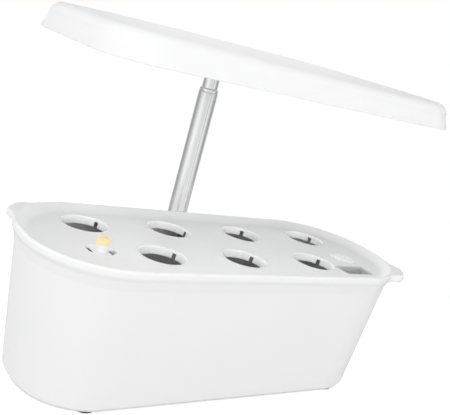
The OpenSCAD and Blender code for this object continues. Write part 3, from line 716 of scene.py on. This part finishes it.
ears = make_piece("deck_ears", *add_solids(ear(1), ear(-1)), deck_white, 50)
mast_notch = lathe("mast_notch", [(0, DECK_Z - 12), (MAST_R + 0.3, DECK_Z - 12), (MAST_R + 0.3, DECK_Z + 12),
                                  (0, DECK_Z + 12)], (0, MAST_Y), deck_white)
cut_away(deck, mast_notch)
finish_mesh(deck, 40)
join_into(deck, ears)
SLOT_TURNS = [34, 4, 50, 28, 28, 30, 31]
SEAT_GAP = 16


def seat_arcs(centre, turn):
    """The collar under a deck hole, left open on both sides where the ring has its slots."""
    section = [(SEAT_R, DECK_Z - DECK_T), (SEAT_R + 1.8, DECK_Z - DECK_T), (SEAT_R + 1.8, DECK_Z - 5),
               (SEAT_R, DECK_Z - 5)]
    return [skin(turn_profile(section, centre, 32, turn + side + SEAT_GAP, turn + side + 180 - SEAT_GAP)[0],
                 caps=(True, True)) for side in (0, 180)]


seats = [arc for centre, turn in zip(PODS, SLOT_TURNS) for arc in seat_arcs(centre, turn)]
join_into(deck, make_piece("deck_seats", *add_solids(*seats), deck_white))
carry(deck, "deck", "deck_white", "grow_deck")

# %% [markdown]
# ## The pod rings
# A pod ring is a thin collar with a rolled lip, and two slots in its wall that take the
# keys of a grow pod. Under the lip the wall is two arcs, so the slots are truly open.

# %% Pod rings
SLOT_W, SLOT_TOP = 3.6, 1.9


def pod_ring(name, centre, turn):
    outer = POD_R + COLLAR_T
    lip = soften([(POD_R + 0.2, DECK_Z - SLOT_TOP), (POD_R + 0.45, DECK_Z - 0.5), (outer - 0.2, DECK_Z + 0.55),
                  (outer + 0.9, DECK_Z + 0.02), (outer + 0.8, DECK_Z - 0.1),
                  (outer, DECK_Z - 0.1), (outer, DECK_Z - SLOT_TOP)], [0, 1.2, 0.8, 0, 0, 0, 0], 4)
    rings, _ = turn_profile(lip, centre, 96)
    wall = [(POD_R + 0.2, DECK_Z - SLOT_TOP), (POD_R - 0.5, DECK_Z - COLLAR_H), (outer, DECK_Z - COLLAR_H),
            (outer, DECK_Z - SLOT_TOP)]
    half = math.degrees(math.asin(SLOT_W / 2 / POD_R))
    solids = [skin(rings, join_ends=True)]
    for side in (0, 180):
        arc, _ = turn_profile(wall, centre, 44, turn + side + half, turn + side + 180 - half)
        solids.append(skin(arc, caps=(True, True)))
    return make_piece(name, *add_solids(*solids), ring_white, 40)


for pod, centre, turn in zip(POD_NAMES, PODS, SLOT_TURNS):
    carry(pod_ring("pod_ring_" + pod, centre, turn), "ring_" + pod, "ring_white", "collar_" + pod)

# %% [markdown]
# ## The float
# A white stem rises through a shallow round recess and carries a small yellow dome, which
# shows how full the tub is. The foam bulb under the deck does the lifting.

# %% Float, its recess and its bulb
WELL_DEEP, CAP_UP, FLOAT_R, DOME_H, CAP_SIDE = 1.3, 5.0, 5.1, 4.6, 1.9
well_outline = soften([(FLOAT_R + 0.1, DECK_Z - WELL_DEEP), (FLOAT_CUP_R - 1.4, DECK_Z - WELL_DEEP),
                       (FLOAT_CUP_R - 1.2, DECK_Z + 0.05), (FLOAT_CUP_R - 0.05, DECK_Z + 0.05),
                       (FLOAT_CUP_R - 0.05, DECK_Z - 14), (FLOAT_CUP_R - 1.4, DECK_Z - 14),
                       (FLOAT_CUP_R - 1.4, DECK_Z - WELL_DEEP - 0.5), (FLOAT_R + 0.1, DECK_Z - WELL_DEEP - 0.5)],
                      [0, 1.4, 0.5, 0.3, 0, 0, 0, 0], 4)
well = lathe("float_well", well_outline, FLOAT_AT, ring_white, 72, 40)
for side in (-1, 1):
    spots = [(FLOAT_AT[0] + side * x, FLOAT_AT[1] - side * y) for x, y in ((6.6, -2), (11.3, -2), (11.3, 6.6), (6.6, 6.6))]
    slot = skin([[(x, y, z) for x, y in spots] for z in (DECK_Z - 13, DECK_Z + 0.4)], caps=(True, True))
    cut_away(well, make_piece("well_slot", *slot, ring_white))
finish_mesh(well, 40)
carry(well, "deck", "deck_white", "float_cage")
stem = lathe("float_rod", [(0, DECK_Z - 46), (FLOAT_R - 0.1, DECK_Z - 46), (FLOAT_R - 0.1, DECK_Z + CAP_UP),
                           (0, DECK_Z + CAP_UP)], FLOAT_AT, stem_white, 48)
carry(stem, "float", "ring_white", "float_stem")
dome = [(0, DECK_Z + CAP_UP), (FLOAT_R - 0.25, DECK_Z + CAP_UP), (FLOAT_R, DECK_Z + CAP_UP + 0.25)]
dome += [(FLOAT_R * math.cos(math.pi / 2 * k / 12),
          DECK_Z + CAP_UP + CAP_SIDE + DOME_H * math.sin(math.pi / 2 * k / 12)) for k in range(12)]
dome += [(0, DECK_Z + CAP_UP + CAP_SIDE + DOME_H)]
carry(lathe("float_dome", dome, FLOAT_AT, float_yellow, 48), "float", "float_yellow", "float_cap")
bulb = soften([(0, DECK_Z - 60), (8, DECK_Z - 60), (11, DECK_Z - 57), (11, DECK_Z - 33), (8, DECK_Z - 30),
               (0, DECK_Z - 30)], [0, 2.5, 2.5, 2.5, 2.5, 0])
carry(lathe("float_foam_bulb", bulb, FLOAT_AT, float_foam, 64), "float", "float_foam", "float_bulb")

# %% [markdown]
# ## Refill port and button
# The refill port is a short chute that drops to a strainer. The chute is white plastic, and its grey is painted shade:
# it is darkened to the tone of the shaded port. Its wall is drawn in with a small step, so its sections are stacked
# rounded rectangles. The button is a shallow disc in a thin raised ring.

# %% Refill chute
PORT_DEEP = 16.0


def chute():
    def loop(grow, z, radius):
        return slab_points(PORT_AT, PORT_L + grow, PORT_W + grow, radius, z)
    top = DECK_Z + 0.35
    rings = [loop(-5, DECK_Z - PORT_DEEP, 2), loop(-5, DECK_Z - PORT_DEEP + 2, 2),
             loop(0, DECK_Z - PORT_DEEP + 2, 3)]
    for step in range(1, 5):
        z = DECK_Z - PORT_DEEP + 2 + step * 2.9
        rings += [loop(0, z - 0.9, 3), loop(0.8, z - 0.7, 3.3), loop(0.8, z - 0.3, 3.3), loop(0, z, 3)]
    rings += [loop(0.1, top - 0.25, 3), loop(0.4, top, 3.2), loop(1.2, top, 3.6), loop(1.9, top - 0.4, 4),
              loop(1.9, DECK_Z - PORT_DEEP, 4)]
    return make_piece("refill_throat", *skin(rings, join_ends=True), chute_painted_shade, 30)


carry(chute(), "deck", "deck_white", "refill_chute")

# %% Button and its ring
bezel_outline = soften([(KEY_R + 0.08, DECK_Z - 4), (KEY_R + 0.08, DECK_Z + 0.5), (KEY_R + 2.9, DECK_Z + 0.55),
                        (KEY_R + 3.3, DECK_Z), (KEY_R + 1.9, DECK_Z), (KEY_R + 1.9, DECK_Z - 4)],
                       [0, 0.3, 0.5, 0.1, 0, 0], 3)
carry(lathe("button_ring", bezel_outline, KEY_AT, ring_white, 72), "deck", "deck_white", "key_bezel")
button_outline = soften([(0, DECK_Z - 6.6), (2, DECK_Z - 6.6), (2, DECK_Z - 4.2), (KEY_R + 1, DECK_Z - 4.2),
                         (KEY_R, DECK_Z - 4), (KEY_R, DECK_Z + 0.5), (KEY_R - 1.5, DECK_Z + 0.85),
                         (0, DECK_Z + 1.0)], [0, 0, 0, 0, 0, 0.4, 4, 0], 5)
carry(lathe("button", button_outline, KEY_AT, key_grey, 72), "key", "key_grey", "touch_key")

# %% [markdown]
# ## The mast
# Two polished tubes slide in each other. The outer tube ends in a rolled lip, which is what
# catches the light at the joint, so both are turned from a true tube section.

# %% Mast tubes
MAST_LOW, ROD_LOW, LIP = 46.0, 66.0, 1.2


def tube_outline(radius, wall, low, high, lip=0.0):
    points = [(radius - wall, low), (radius, low)]
    if lip:
        points += [(radius, high - 4.2), (radius - 0.1, high - 3.7), (radius - 0.5, high - 3.1)]
        points += [(radius - lip - 0.4 + lip * math.cos(t), high - lip + lip * math.sin(t))
                   for t in (math.pi / 2 * k / 8 for k in range(9))]
        points += [(radius - wall, high - lip * 0.4)]
    else:
        points += [(radius, high - 0.3), (radius - 0.3, high), (radius - wall, high)]
    return points


outer = lathe("mast_outer_tube", tube_outline(MAST_R, 1.6, MAST_LOW, MAST_TOP, LIP), (0, MAST_Y), polished, 128)
carry(outer, "tub", "polished_tube", "outer_tube")
inner = lathe("mast_inner_tube", tube_outline(ROD_R, ROD_T, ROD_LOW, LAMP_Z + 11), (0, MAST_Y), polished, 128)
carry(inner, "lamp", "polished_tube", "inner_tube")

# %% [markdown]
# ## The lamp hood
# The hood follows a rule: its side leans in a little, a round edge turns into the top, and
# the top is a very flat dome that sinks towards both ends. The mesh below is the hood with a
# flat top; a small node tree then adds the dome, by lifting each point by a share that
# grows from nothing at the lower edge to all of it where the round edge begins.

# %% Hood crown tree
DOME, DROP, LEAN, EDGE, SHELL, LOWER_EDGE = 2.0, 3.0, 7.0, 8.8, 2.2, 0.5


def math_node(tree, operation, a, b=None):
    node = tree.nodes.new("ShaderNodeMath")
    node.operation = operation
    for socket, value in zip(node.inputs, (a, b)):
        if value is None:
            continue
        if isinstance(value, (int, float)):
            socket.default_value = value
        else:
            tree.links.new(value, socket)
    return node.outputs[0]


def crown_tree():
    tree = bpy.data.node_groups.new("hood_crown", "GeometryNodeTree")
    keys = {"hood": socket_key(tree, "Hood", "NodeSocketGeometry")}
    for name in ("Dome", "Drop", "Half length", "Half width", "Lower edge", "Edge start"):
        keys[name] = socket_key(tree, name, "NodeSocketFloat", 0.1)
    keys["Finish"] = socket_key(tree, "Finish", "NodeSocketMaterial")
    tree.interface.new_socket("Crowned", in_out="OUTPUT", socket_type="NodeSocketGeometry")
    add, link = tree.nodes.new, tree.links.new
    given, out = add("NodeGroupInput"), add("NodeGroupOutput")
    where, apart = add("GeometryNodeInputPosition"), add("ShaderNodeSeparateXYZ")
    link(where.outputs[0], apart.inputs[0])
    x = math_node(tree, "DIVIDE", apart.outputs["X"], given.outputs["Half length"])
    y = math_node(tree, "DIVIDE", apart.outputs["Y"], given.outputs["Half width"])
    across = math_node(tree, "SUBTRACT", 1.0, math_node(tree, "MULTIPLY", y, y))
    up = math_node(tree, "MULTIPLY", across, given.outputs["Dome"])
    down = math_node(tree, "MULTIPLY", math_node(tree, "MULTIPLY", x, x), given.outputs["Drop"])
    height = math_node(tree, "SUBTRACT", apart.outputs["Z"], given.outputs["Lower edge"])
    span = math_node(tree, "SUBTRACT", given.outputs["Edge start"], given.outputs["Lower edge"])
    ratio = math_node(tree, "DIVIDE", height, span)
    share = math_node(tree, "MAXIMUM", math_node(tree, "MINIMUM", ratio, 1.0), 0.0)
    lift = math_node(tree, "MULTIPLY", math_node(tree, "SUBTRACT", up, down), share)
    joined, move = add("ShaderNodeCombineXYZ"), add("GeometryNodeSetPosition")
    plain, dress = add("GeometryNodeRealizeInstances"), add("GeometryNodeSetMaterial")
    link(lift, joined.inputs["Z"])
    link(given.outputs["Hood"], move.inputs["Geometry"])
    link(joined.outputs[0], move.inputs["Offset"])
    link(move.outputs[0], plain.inputs[0])
    link(plain.outputs[0], dress.inputs["Geometry"])
    link(given.outputs["Finish"], dress.inputs["Material"])
    link(dress.outputs[0], out.inputs["Crowned"])
    return tree, keys


CROWN, CROWN_KEYS = crown_tree()
print("crown tree:", len(CROWN.nodes), "nodes")

# %% Hood and the boss that holds its socket


def hood_rings(shrink, low):
    """Sections of the hood from its lower edge to the middle of its top, at LAMP_Y = 0."""
    steps = [(LEAN * (z / LAMP_H), z) for z in (low, (LAMP_H - EDGE) * 0.6, LAMP_H - EDGE)]
    start = LEAN * (LAMP_H - EDGE) / LAMP_H
    for k in range(1, 13):
        t = math.pi / 2 * k / 12
        steps.append((start + EDGE * (1 - math.cos(t)), LAMP_H - EDGE + EDGE * math.sin(t)))
    rings = []
    for inset, z in steps:
        inset, z = inset + shrink, LAMP_Z + (z if z < 3 else z - shrink)
        rings.append(slab_points((0, 0), LAMP_L - 2 * inset, LAMP_W - 2 * inset, LAMP_R - inset, z, 16))
    top = rings[-1]
    for share in (0.96, 0.88, 0.76, 0.6, 0.42, 0.24, 0.08):
        rings.append([(x * share, y * share, z) for x, y, z in top])
    return rings


def hood_piece():
    lip = []
    for k in range(7):
        t = math.pi / 2 * k / 6
        inset = LOWER_EDGE * (1 - math.sin(t)) + LEAN * LOWER_EDGE / LAMP_H * math.sin(t)
        z = LAMP_Z + LOWER_EDGE * (1 - math.cos(t))
        lip.append(slab_points((0, 0), LAMP_L - 2 * inset, LAMP_W - 2 * inset, LAMP_R - inset, z, 16))
    inside = hood_rings(SHELL, LOWER_EDGE)
    verts, faces = skin(inside[::-1] + lip + hood_rings(0, LOWER_EDGE)[1:], caps=(True, True))
    rows = [(x, y + ROW_SHIFT, z) for x, y, z in verts]
    piece = make_piece("lamp_hood", rows, faces, lamp_white)
    made = piece.modifiers.new("crown", "NODES")
    made.node_group = CROWN
    for key, value in (("Dome", DOME * MM), ("Drop", DROP * MM), ("Half length", LAMP_L / 2 * MM),
                       ("Half width", LAMP_W / 2 * MM), ("Lower edge", LAMP_Z * MM),
                       ("Edge start", (LAMP_Z + LAMP_H - EDGE) * MM), ("Finish", lamp_white)):
        made[CROWN_KEYS[key]] = value
    grown(piece)
    piece.data.transform(Matrix.Translation((0, (LAMP_Y - ROW_SHIFT) * MM, 0)))
    boss = soften([(9.8, LAMP_Z), (10.95, LAMP_Z), (10.95, LAMP_Z + 15), (0, LAMP_Z + 15.2), (0, LAMP_Z + 13),
                   (9.8, LAMP_Z + 13)], [0, 0, 2.5, 0, 0, 0])
    join_into(piece, lathe("hood_boss", boss, (0, MAST_Y), lamp_white, 64))
    finish_mesh(piece, 60)
    return piece


carry(hood_piece(), "lamp", "lamp_white", "lamp_shell")

# %% [markdown]
# ## Screws, lamp chips and strainer bars
# Small things that repeat are made once and set on points by a node tree: screws with a
# cross recess, the light chips on their board, and the bars of the strainer. The tree ends
# with real geometry, so every row becomes one plain mesh that rides on one body.

# %% Tree that sets one shape on many points


def row_tree():
    tree = bpy.data.node_groups.new("shape_on_points", "GeometryNodeTree")
    keys = {"points": socket_key(tree, "Points", "NodeSocketGeometry"),
            "Shape": socket_key(tree, "Shape", "NodeSocketObject")}
    keys["Turn"] = socket_key(tree, "Turn", "NodeSocketRotation")
    keys["Spin"] = socket_key(tree, "Spin", "NodeSocketFloat", 0.0)
    keys["Finish"] = socket_key(tree, "Finish", "NodeSocketMaterial")
    tree.interface.new_socket("Row", in_out="OUTPUT", socket_type="NodeSocketGeometry")
    add, link = tree.nodes.new, tree.links.new
    given, out = add("NodeGroupInput"), add("NodeGroupOutput")
    shape, place = add("GeometryNodeObjectInfo"), add("GeometryNodeInstanceOnPoints")
    chance, spin = add("FunctionNodeRandomValue"), add("GeometryNodeRotateInstances")
    axis, plain, dress = add("ShaderNodeCombineXYZ"), add("GeometryNodeRealizeInstances"), add("GeometryNodeSetMaterial")
    chance.data_type = "FLOAT"
    chance.inputs["Seed"].default_value = 7
    link(given.outputs["Spin"], chance.inputs[3])
    link(given.outputs["Points"], place.inputs["Points"])
    link(given.outputs["Shape"], shape.inputs["Object"])
    link(shape.outputs["Geometry"], place.inputs["Instance"])
    link(given.outputs["Turn"], place.inputs["Rotation"])
    link(chance.outputs[1], axis.inputs["Z"])
    link(place.outputs["Instances"], spin.inputs["Instances"])
    link(axis.outputs[0], spin.inputs["Rotation"])
    link(spin.outputs["Instances"], plain.inputs["Geometry"])
    link(plain.outputs["Geometry"], dress.inputs["Geometry"])
    link(given.outputs["Finish"], dress.inputs["Material"])
    link(dress.outputs["Geometry"], out.inputs["Row"])
    return tree, keys


ROW, ROW_KEYS = row_tree()


def set_row(name, points, shape, finish, turn=(0, 0, 0), spin=0.0):
    """Set a shape on each point; the shape keeps its own axes, turned by `turn` radians."""
    mesh = bpy.data.meshes.new(name)
    mesh.from_pydata(place_points(points), [], [])
    piece = bpy.data.objects.new(name, mesh)
    bpy.context.scene.collection.objects.link(piece)
    made = piece.modifiers.new("row", "NODES")
    made.node_group = ROW
    for key, value in (("Shape", shape), ("Turn", turn), ("Spin", spin), ("Finish", finish)):
        made[ROW_KEYS[key]] = value
    grown(piece)
    finish_mesh(piece, 35)
    return piece


print("row tree:", len(ROW.nodes), "nodes")

# %% One screw


def screw_shape(name, head_r, head_h, shaft_r, shaft_l):
    """A pan head screw with a cross recess, head down at the origin and shaft upwards."""
    around, rings = 32, []
    cross = []
    for k in range(around):
        a = math.tau * k / around
        arm = abs(math.cos(2 * a))
        cross.append((0.24 + 0.42 * smooth_step(0.75, 1.0, arm) * (1 if arm > 0 else 0)) * head_r)
    def loop(radii, z):
        return [(r * math.cos(math.tau * k / around) * MM, r * math.sin(math.tau * k / around) * MM, z * MM)
                for k, r in enumerate(radii)]
    rings.append(loop([r * 0.35 for r in cross], -head_h + 0.9))
    rings.append(loop(cross, -head_h))
    for share, down in ((0.72, 1.0), (0.88, 0.9), (0.97, 0.65), (1.0, 0.35), (1.0, 0.0)):
        rings.append(loop([head_r * share] * around, -head_h * down))
    rings += [loop([shaft_r] * around, 0), loop([shaft_r] * around, shaft_l), ]
    verts, faces = skin(rings, caps=(True, True))
    mesh = bpy.data.meshes.new(name)
    mesh.from_pydata(verts, [], faces)
    shape = bpy.data.objects.new(name, mesh)
    bpy.context.scene.collection.objects.link(shape)
    finish_mesh(shape, 35)
    return shape


def screws(name, points, sizes, body, node, turn=(0, 0, 0)):
    shape = screw_shape(name + "_shape", *sizes)
    row = set_row(name, points, shape, steel, turn, 1.4)
    bpy.data.objects.remove(shape)
    return carry(row, body, "screw_steel", node)


BOX_AT, BOX_L, BOX_W, BOX_H = (136.0, -9.0), 46.0, 38.0, 15.0
WALL_TURN = math.atan(TUB_DRAFT / (TUB_TOP - FOOT_H - BASE_EDGE))


def wall_point(x, z, out):
    """A point on the back wall of the tub, `out` millimetres outside it."""
    y = RIM_W / 2 - WALL_IN - math.tan(WALL_TURN) * (TUB_TOP - z)
    return (x, y + out * math.cos(WALL_TURN), z - out * math.sin(WALL_TURN))


box_points = [(BOX_AT[0] + sx * (BOX_L / 2 - 4), BOX_AT[1] + sy * (BOX_W / 2 - 4), DECK_Z - DECK_T - BOX_H)
              for sx in (-1, 1) for sy in (-1, 1)]
screws("box_screw_row", box_points, (2.8, 1.6, 1.48, BOX_H + 1.4), "deck", "box_screws")
cover_points = [(sx * (LAMP_L / 2 - 22), LAMP_Y + sy * (LAMP_W / 2 - 14), LAMP_Z + 1.48)
                for sx in (-1, 1) for sy in (-1, 1)] + [(0, LAMP_Y - LAMP_W / 2 + 14, LAMP_Z + 1.48)]
screws("cover_screw_row", cover_points, (2.8, 1.2, 1.48, 9), "lamp", "cover_screws")
socket_points = [(sx * 16, MAST_Y - 3, LAMP_Z - 2.04) for sx in (-1, 1)]
screws("socket_screw_row", socket_points, (2.8, 1.6, 1.48, 10), "lamp", "socket_screws")
bracket_points = [wall_point(0, z, -TUB_T - 0.1) for z in (54, 99.5)]
screws("bracket_screw_row", bracket_points, (3.2, 1.9, 1.48, 5.6), "tub", "bracket_screws",
       (-math.pi / 2 - WALL_TURN, 0, 0))

# %% Light chips
CHIP, PITCH, ROWS_APART, PLATE_Y, PLATE_Z = 5.0, 20.0, 30.0, LAMP_Y - 2.5, LAMP_Z + 10


def chip_shape():
    """A square light chip that faces down: a frame, and a round lens sunk in it."""
    def ring(size, z, roundness):
        out = []
        for k in range(16):
            a = math.tau * (k + 0.5) / 16
            square = 1 / max(abs(math.cos(a)), abs(math.sin(a)))
            r = size / 2 * (roundness + (1 - roundness) * square)
            out.append((r * math.cos(a) * MM, r * math.sin(a) * MM, z * MM))
        return out
    rings = [ring(CHIP, 0, 0), ring(CHIP, -0.8, 0), ring(CHIP - 0.3, -0.92, 0.1), ring(3.9, -0.92, 1),
             ring(3.7, -0.6, 1), ring(2.4, -0.72, 1), ring(0.8, -0.76, 1)]
    verts, faces = skin(rings, caps=(True, True))
    mesh = bpy.data.meshes.new("chip_shape")
    mesh.from_pydata(verts, [], faces)
    shape = bpy.data.objects.new("chip_shape", mesh)
    bpy.context.scene.collection.objects.link(shape)
    finish_mesh(shape, 30)
    return shape


def chips(name, columns, rows, finish, slot, node):
    shape = chip_shape()
    points = [(x * PITCH, PLATE_Y + y * ROWS_APART, PLATE_Z - 1.42) for x in columns for y in rows]
    row = set_row(name, points, shape, finish)
    bpy.data.objects.remove(shape)
    return carry(row, "lamp", slot, node)


chips("white_chip_rows", range(-6, 7), (-1, 0, 1), led_white, "led_white", "white_leds")
chips("red_chip_rows", [k + 0.5 for k in range(-6, 6, 2)], (-0.5, 0.5), led_red, "led_red", "red_leds")

# %% Strainer
STRAINER_Z = DECK_Z - PORT_DEEP + 2


def bar_shape(length, along_x):
    rings = []
    for end in (-length / 2, length / 2):
        ring = []
        for k in range(10):
            a = math.tau * k / 10
            across, up = 0.72 * math.cos(a), 0.6 + 0.5 * math.sin(a)
            ring.append((end * MM, across * MM, up * MM) if along_x else (across * MM, end * MM, up * MM))
        rings.append(ring)
    verts, faces = skin(rings, caps=(True, True))
    mesh = bpy.data.meshes.new("bar_shape")
    mesh.from_pydata(verts, [], faces)
    shape = bpy.data.objects.new("bar_shape", mesh)
    bpy.context.scene.collection.objects.link(shape)
    return shape


def strainer():
    frame_rings = [slab_points(PORT_AT, l, w, r, STRAINER_Z + z) for l, w, r, z in
                   ((27.2, 11.8, 1.0, 0), (32.8, 16.8, 2.8, 0), (32.8, 16.8, 2.8, 1.2), (27.2, 11.8, 1.0, 1.2))]
    piece = make_piece("refill_sieve", *skin(frame_rings, join_ends=True), strainer_grey)
    for along_x, length, points in ((False, 12, [(x, 0) for x in (-8.4, -2.8, 2.8, 8.4)]),
                                    (True, 27.4, [(0, -2.1), (0, 2.1)])):
        shape = bar_shape(length, along_x)
        spots = [(PORT_AT[0] + x, PORT_AT[1] + y, STRAINER_Z) for x, y in points]
        join_into(piece, set_row("bars", spots, shape, strainer_grey))
        bpy.data.objects.remove(shape)
    return piece


carry(strainer(), "deck", "strainer_grey", "refill_strainer")

# %% [markdown]
# ## The solids that stay
# Parts whose shape is already right keep their solid and only get a finish: the feet, the
# pump and its pipe, the boards, the control box, the mast bracket and the lamp's inner
# parts. A finish goes on through the object's material slots, so the mesh is not touched.

# %% Finishes on the solids
SOLID_FINISH = {
    "rubber_feet": foot_rubber, "pump_case": pump_black, "pump_cover": pump_black,
    "suction_cups": cup_rubber, "riser_pipe": pipe_cloudy, "spray_head": pump_black,
    "power_inlet": pump_black, "mast_bracket": tub_white, "guide_bush": bush_white,
    "control_box": box_grey, "control_board": board_green, "key_switch": pump_black,
    "tube_glide": bush_white, "lamp_socket": turned, "heat_plate": sheet,
    "led_board": board_white, "lamp_driver": board_green, "lamp_cover": cover_milky}
for name, finish in SOLID_FINISH.items():
    for place in nodes[name].material_slots:
        place.material = finish
print("solids with a finish:", len(SOLID_FINISH))

# %% [markdown]
# ## A tent for the mast
# A polished tube shows nothing but its surroundings, and in an all-white room it would look
# white itself. Photographers stand a tent of pale and dark cards round such a tube. This
# tent is one curved wall that only reflections see: bright in front, a narrow dark strip
# to the right, and dark at both sides, where the edges of the tube look.

# %% Tent
TENT_R, TENT_TOP = 0.5, 0.9
TENT_SHADES = ((-165, 0.95), (-140, 0.5), (-112, 0.32), (-90, 0.42), (-72, 0.62), (-36, 1.05), (5, 0.78),
               (26, 0.7), (44, 0.84), (49, 0.5), (54, 0.5), (59, 0.86), (76, 0.8), (96, 0.42), (114, 0.32),
               (140, 0.55), (165, 0.95))


def tent_finish():
    mat = bpy.data.materials.new("tent_cards")
    mat.use_nodes = True
    tree = mat.node_tree
    tree.nodes.clear()
    shade, glow = tree.nodes.new("ShaderNodeAttribute"), tree.nodes.new("ShaderNodeEmission")
    out = tree.nodes.new("ShaderNodeOutputMaterial")
    shade.attribute_name = "shade"
    tree.links.new(shade.outputs["Fac"], glow.inputs["Strength"])
    tree.links.new(glow.outputs[0], out.inputs["Surface"])
    return mat


def add_tent():
    verts, shades = [], []
    for angle, shade in TENT_SHADES:
        away = math.radians(-90 - LOOK_TURN + angle)
        x, y = TENT_R * math.cos(away), TENT_R * math.sin(away) + (MAST_Y - ROW_SHIFT) * MM
        verts += [(x, y, 0.0), (x, y, TENT_TOP)]
        shades += [shade, shade]
    faces = [(2 * k, 2 * k + 2, 2 * k + 3, 2 * k + 1) for k in range(len(TENT_SHADES) - 1)]
    mesh = bpy.data.meshes.new("tent")
    mesh.from_pydata(verts, [], faces)
    mesh.attributes.new("shade", "FLOAT", "POINT").data.foreach_set("value", shades)
    tent = bpy.data.objects.new("tent", mesh)
    bpy.context.scene.collection.objects.link(tent)
    mesh.materials.append(tent_finish())
    tent.visible_camera = tent.visible_diffuse = tent.visible_shadow = tent.visible_transmission = False


add_tent()
print("tent:", len(TENT_SHADES), "upright edges")

# %% [markdown]
# ## Close

# %% End
print("garden dressed")
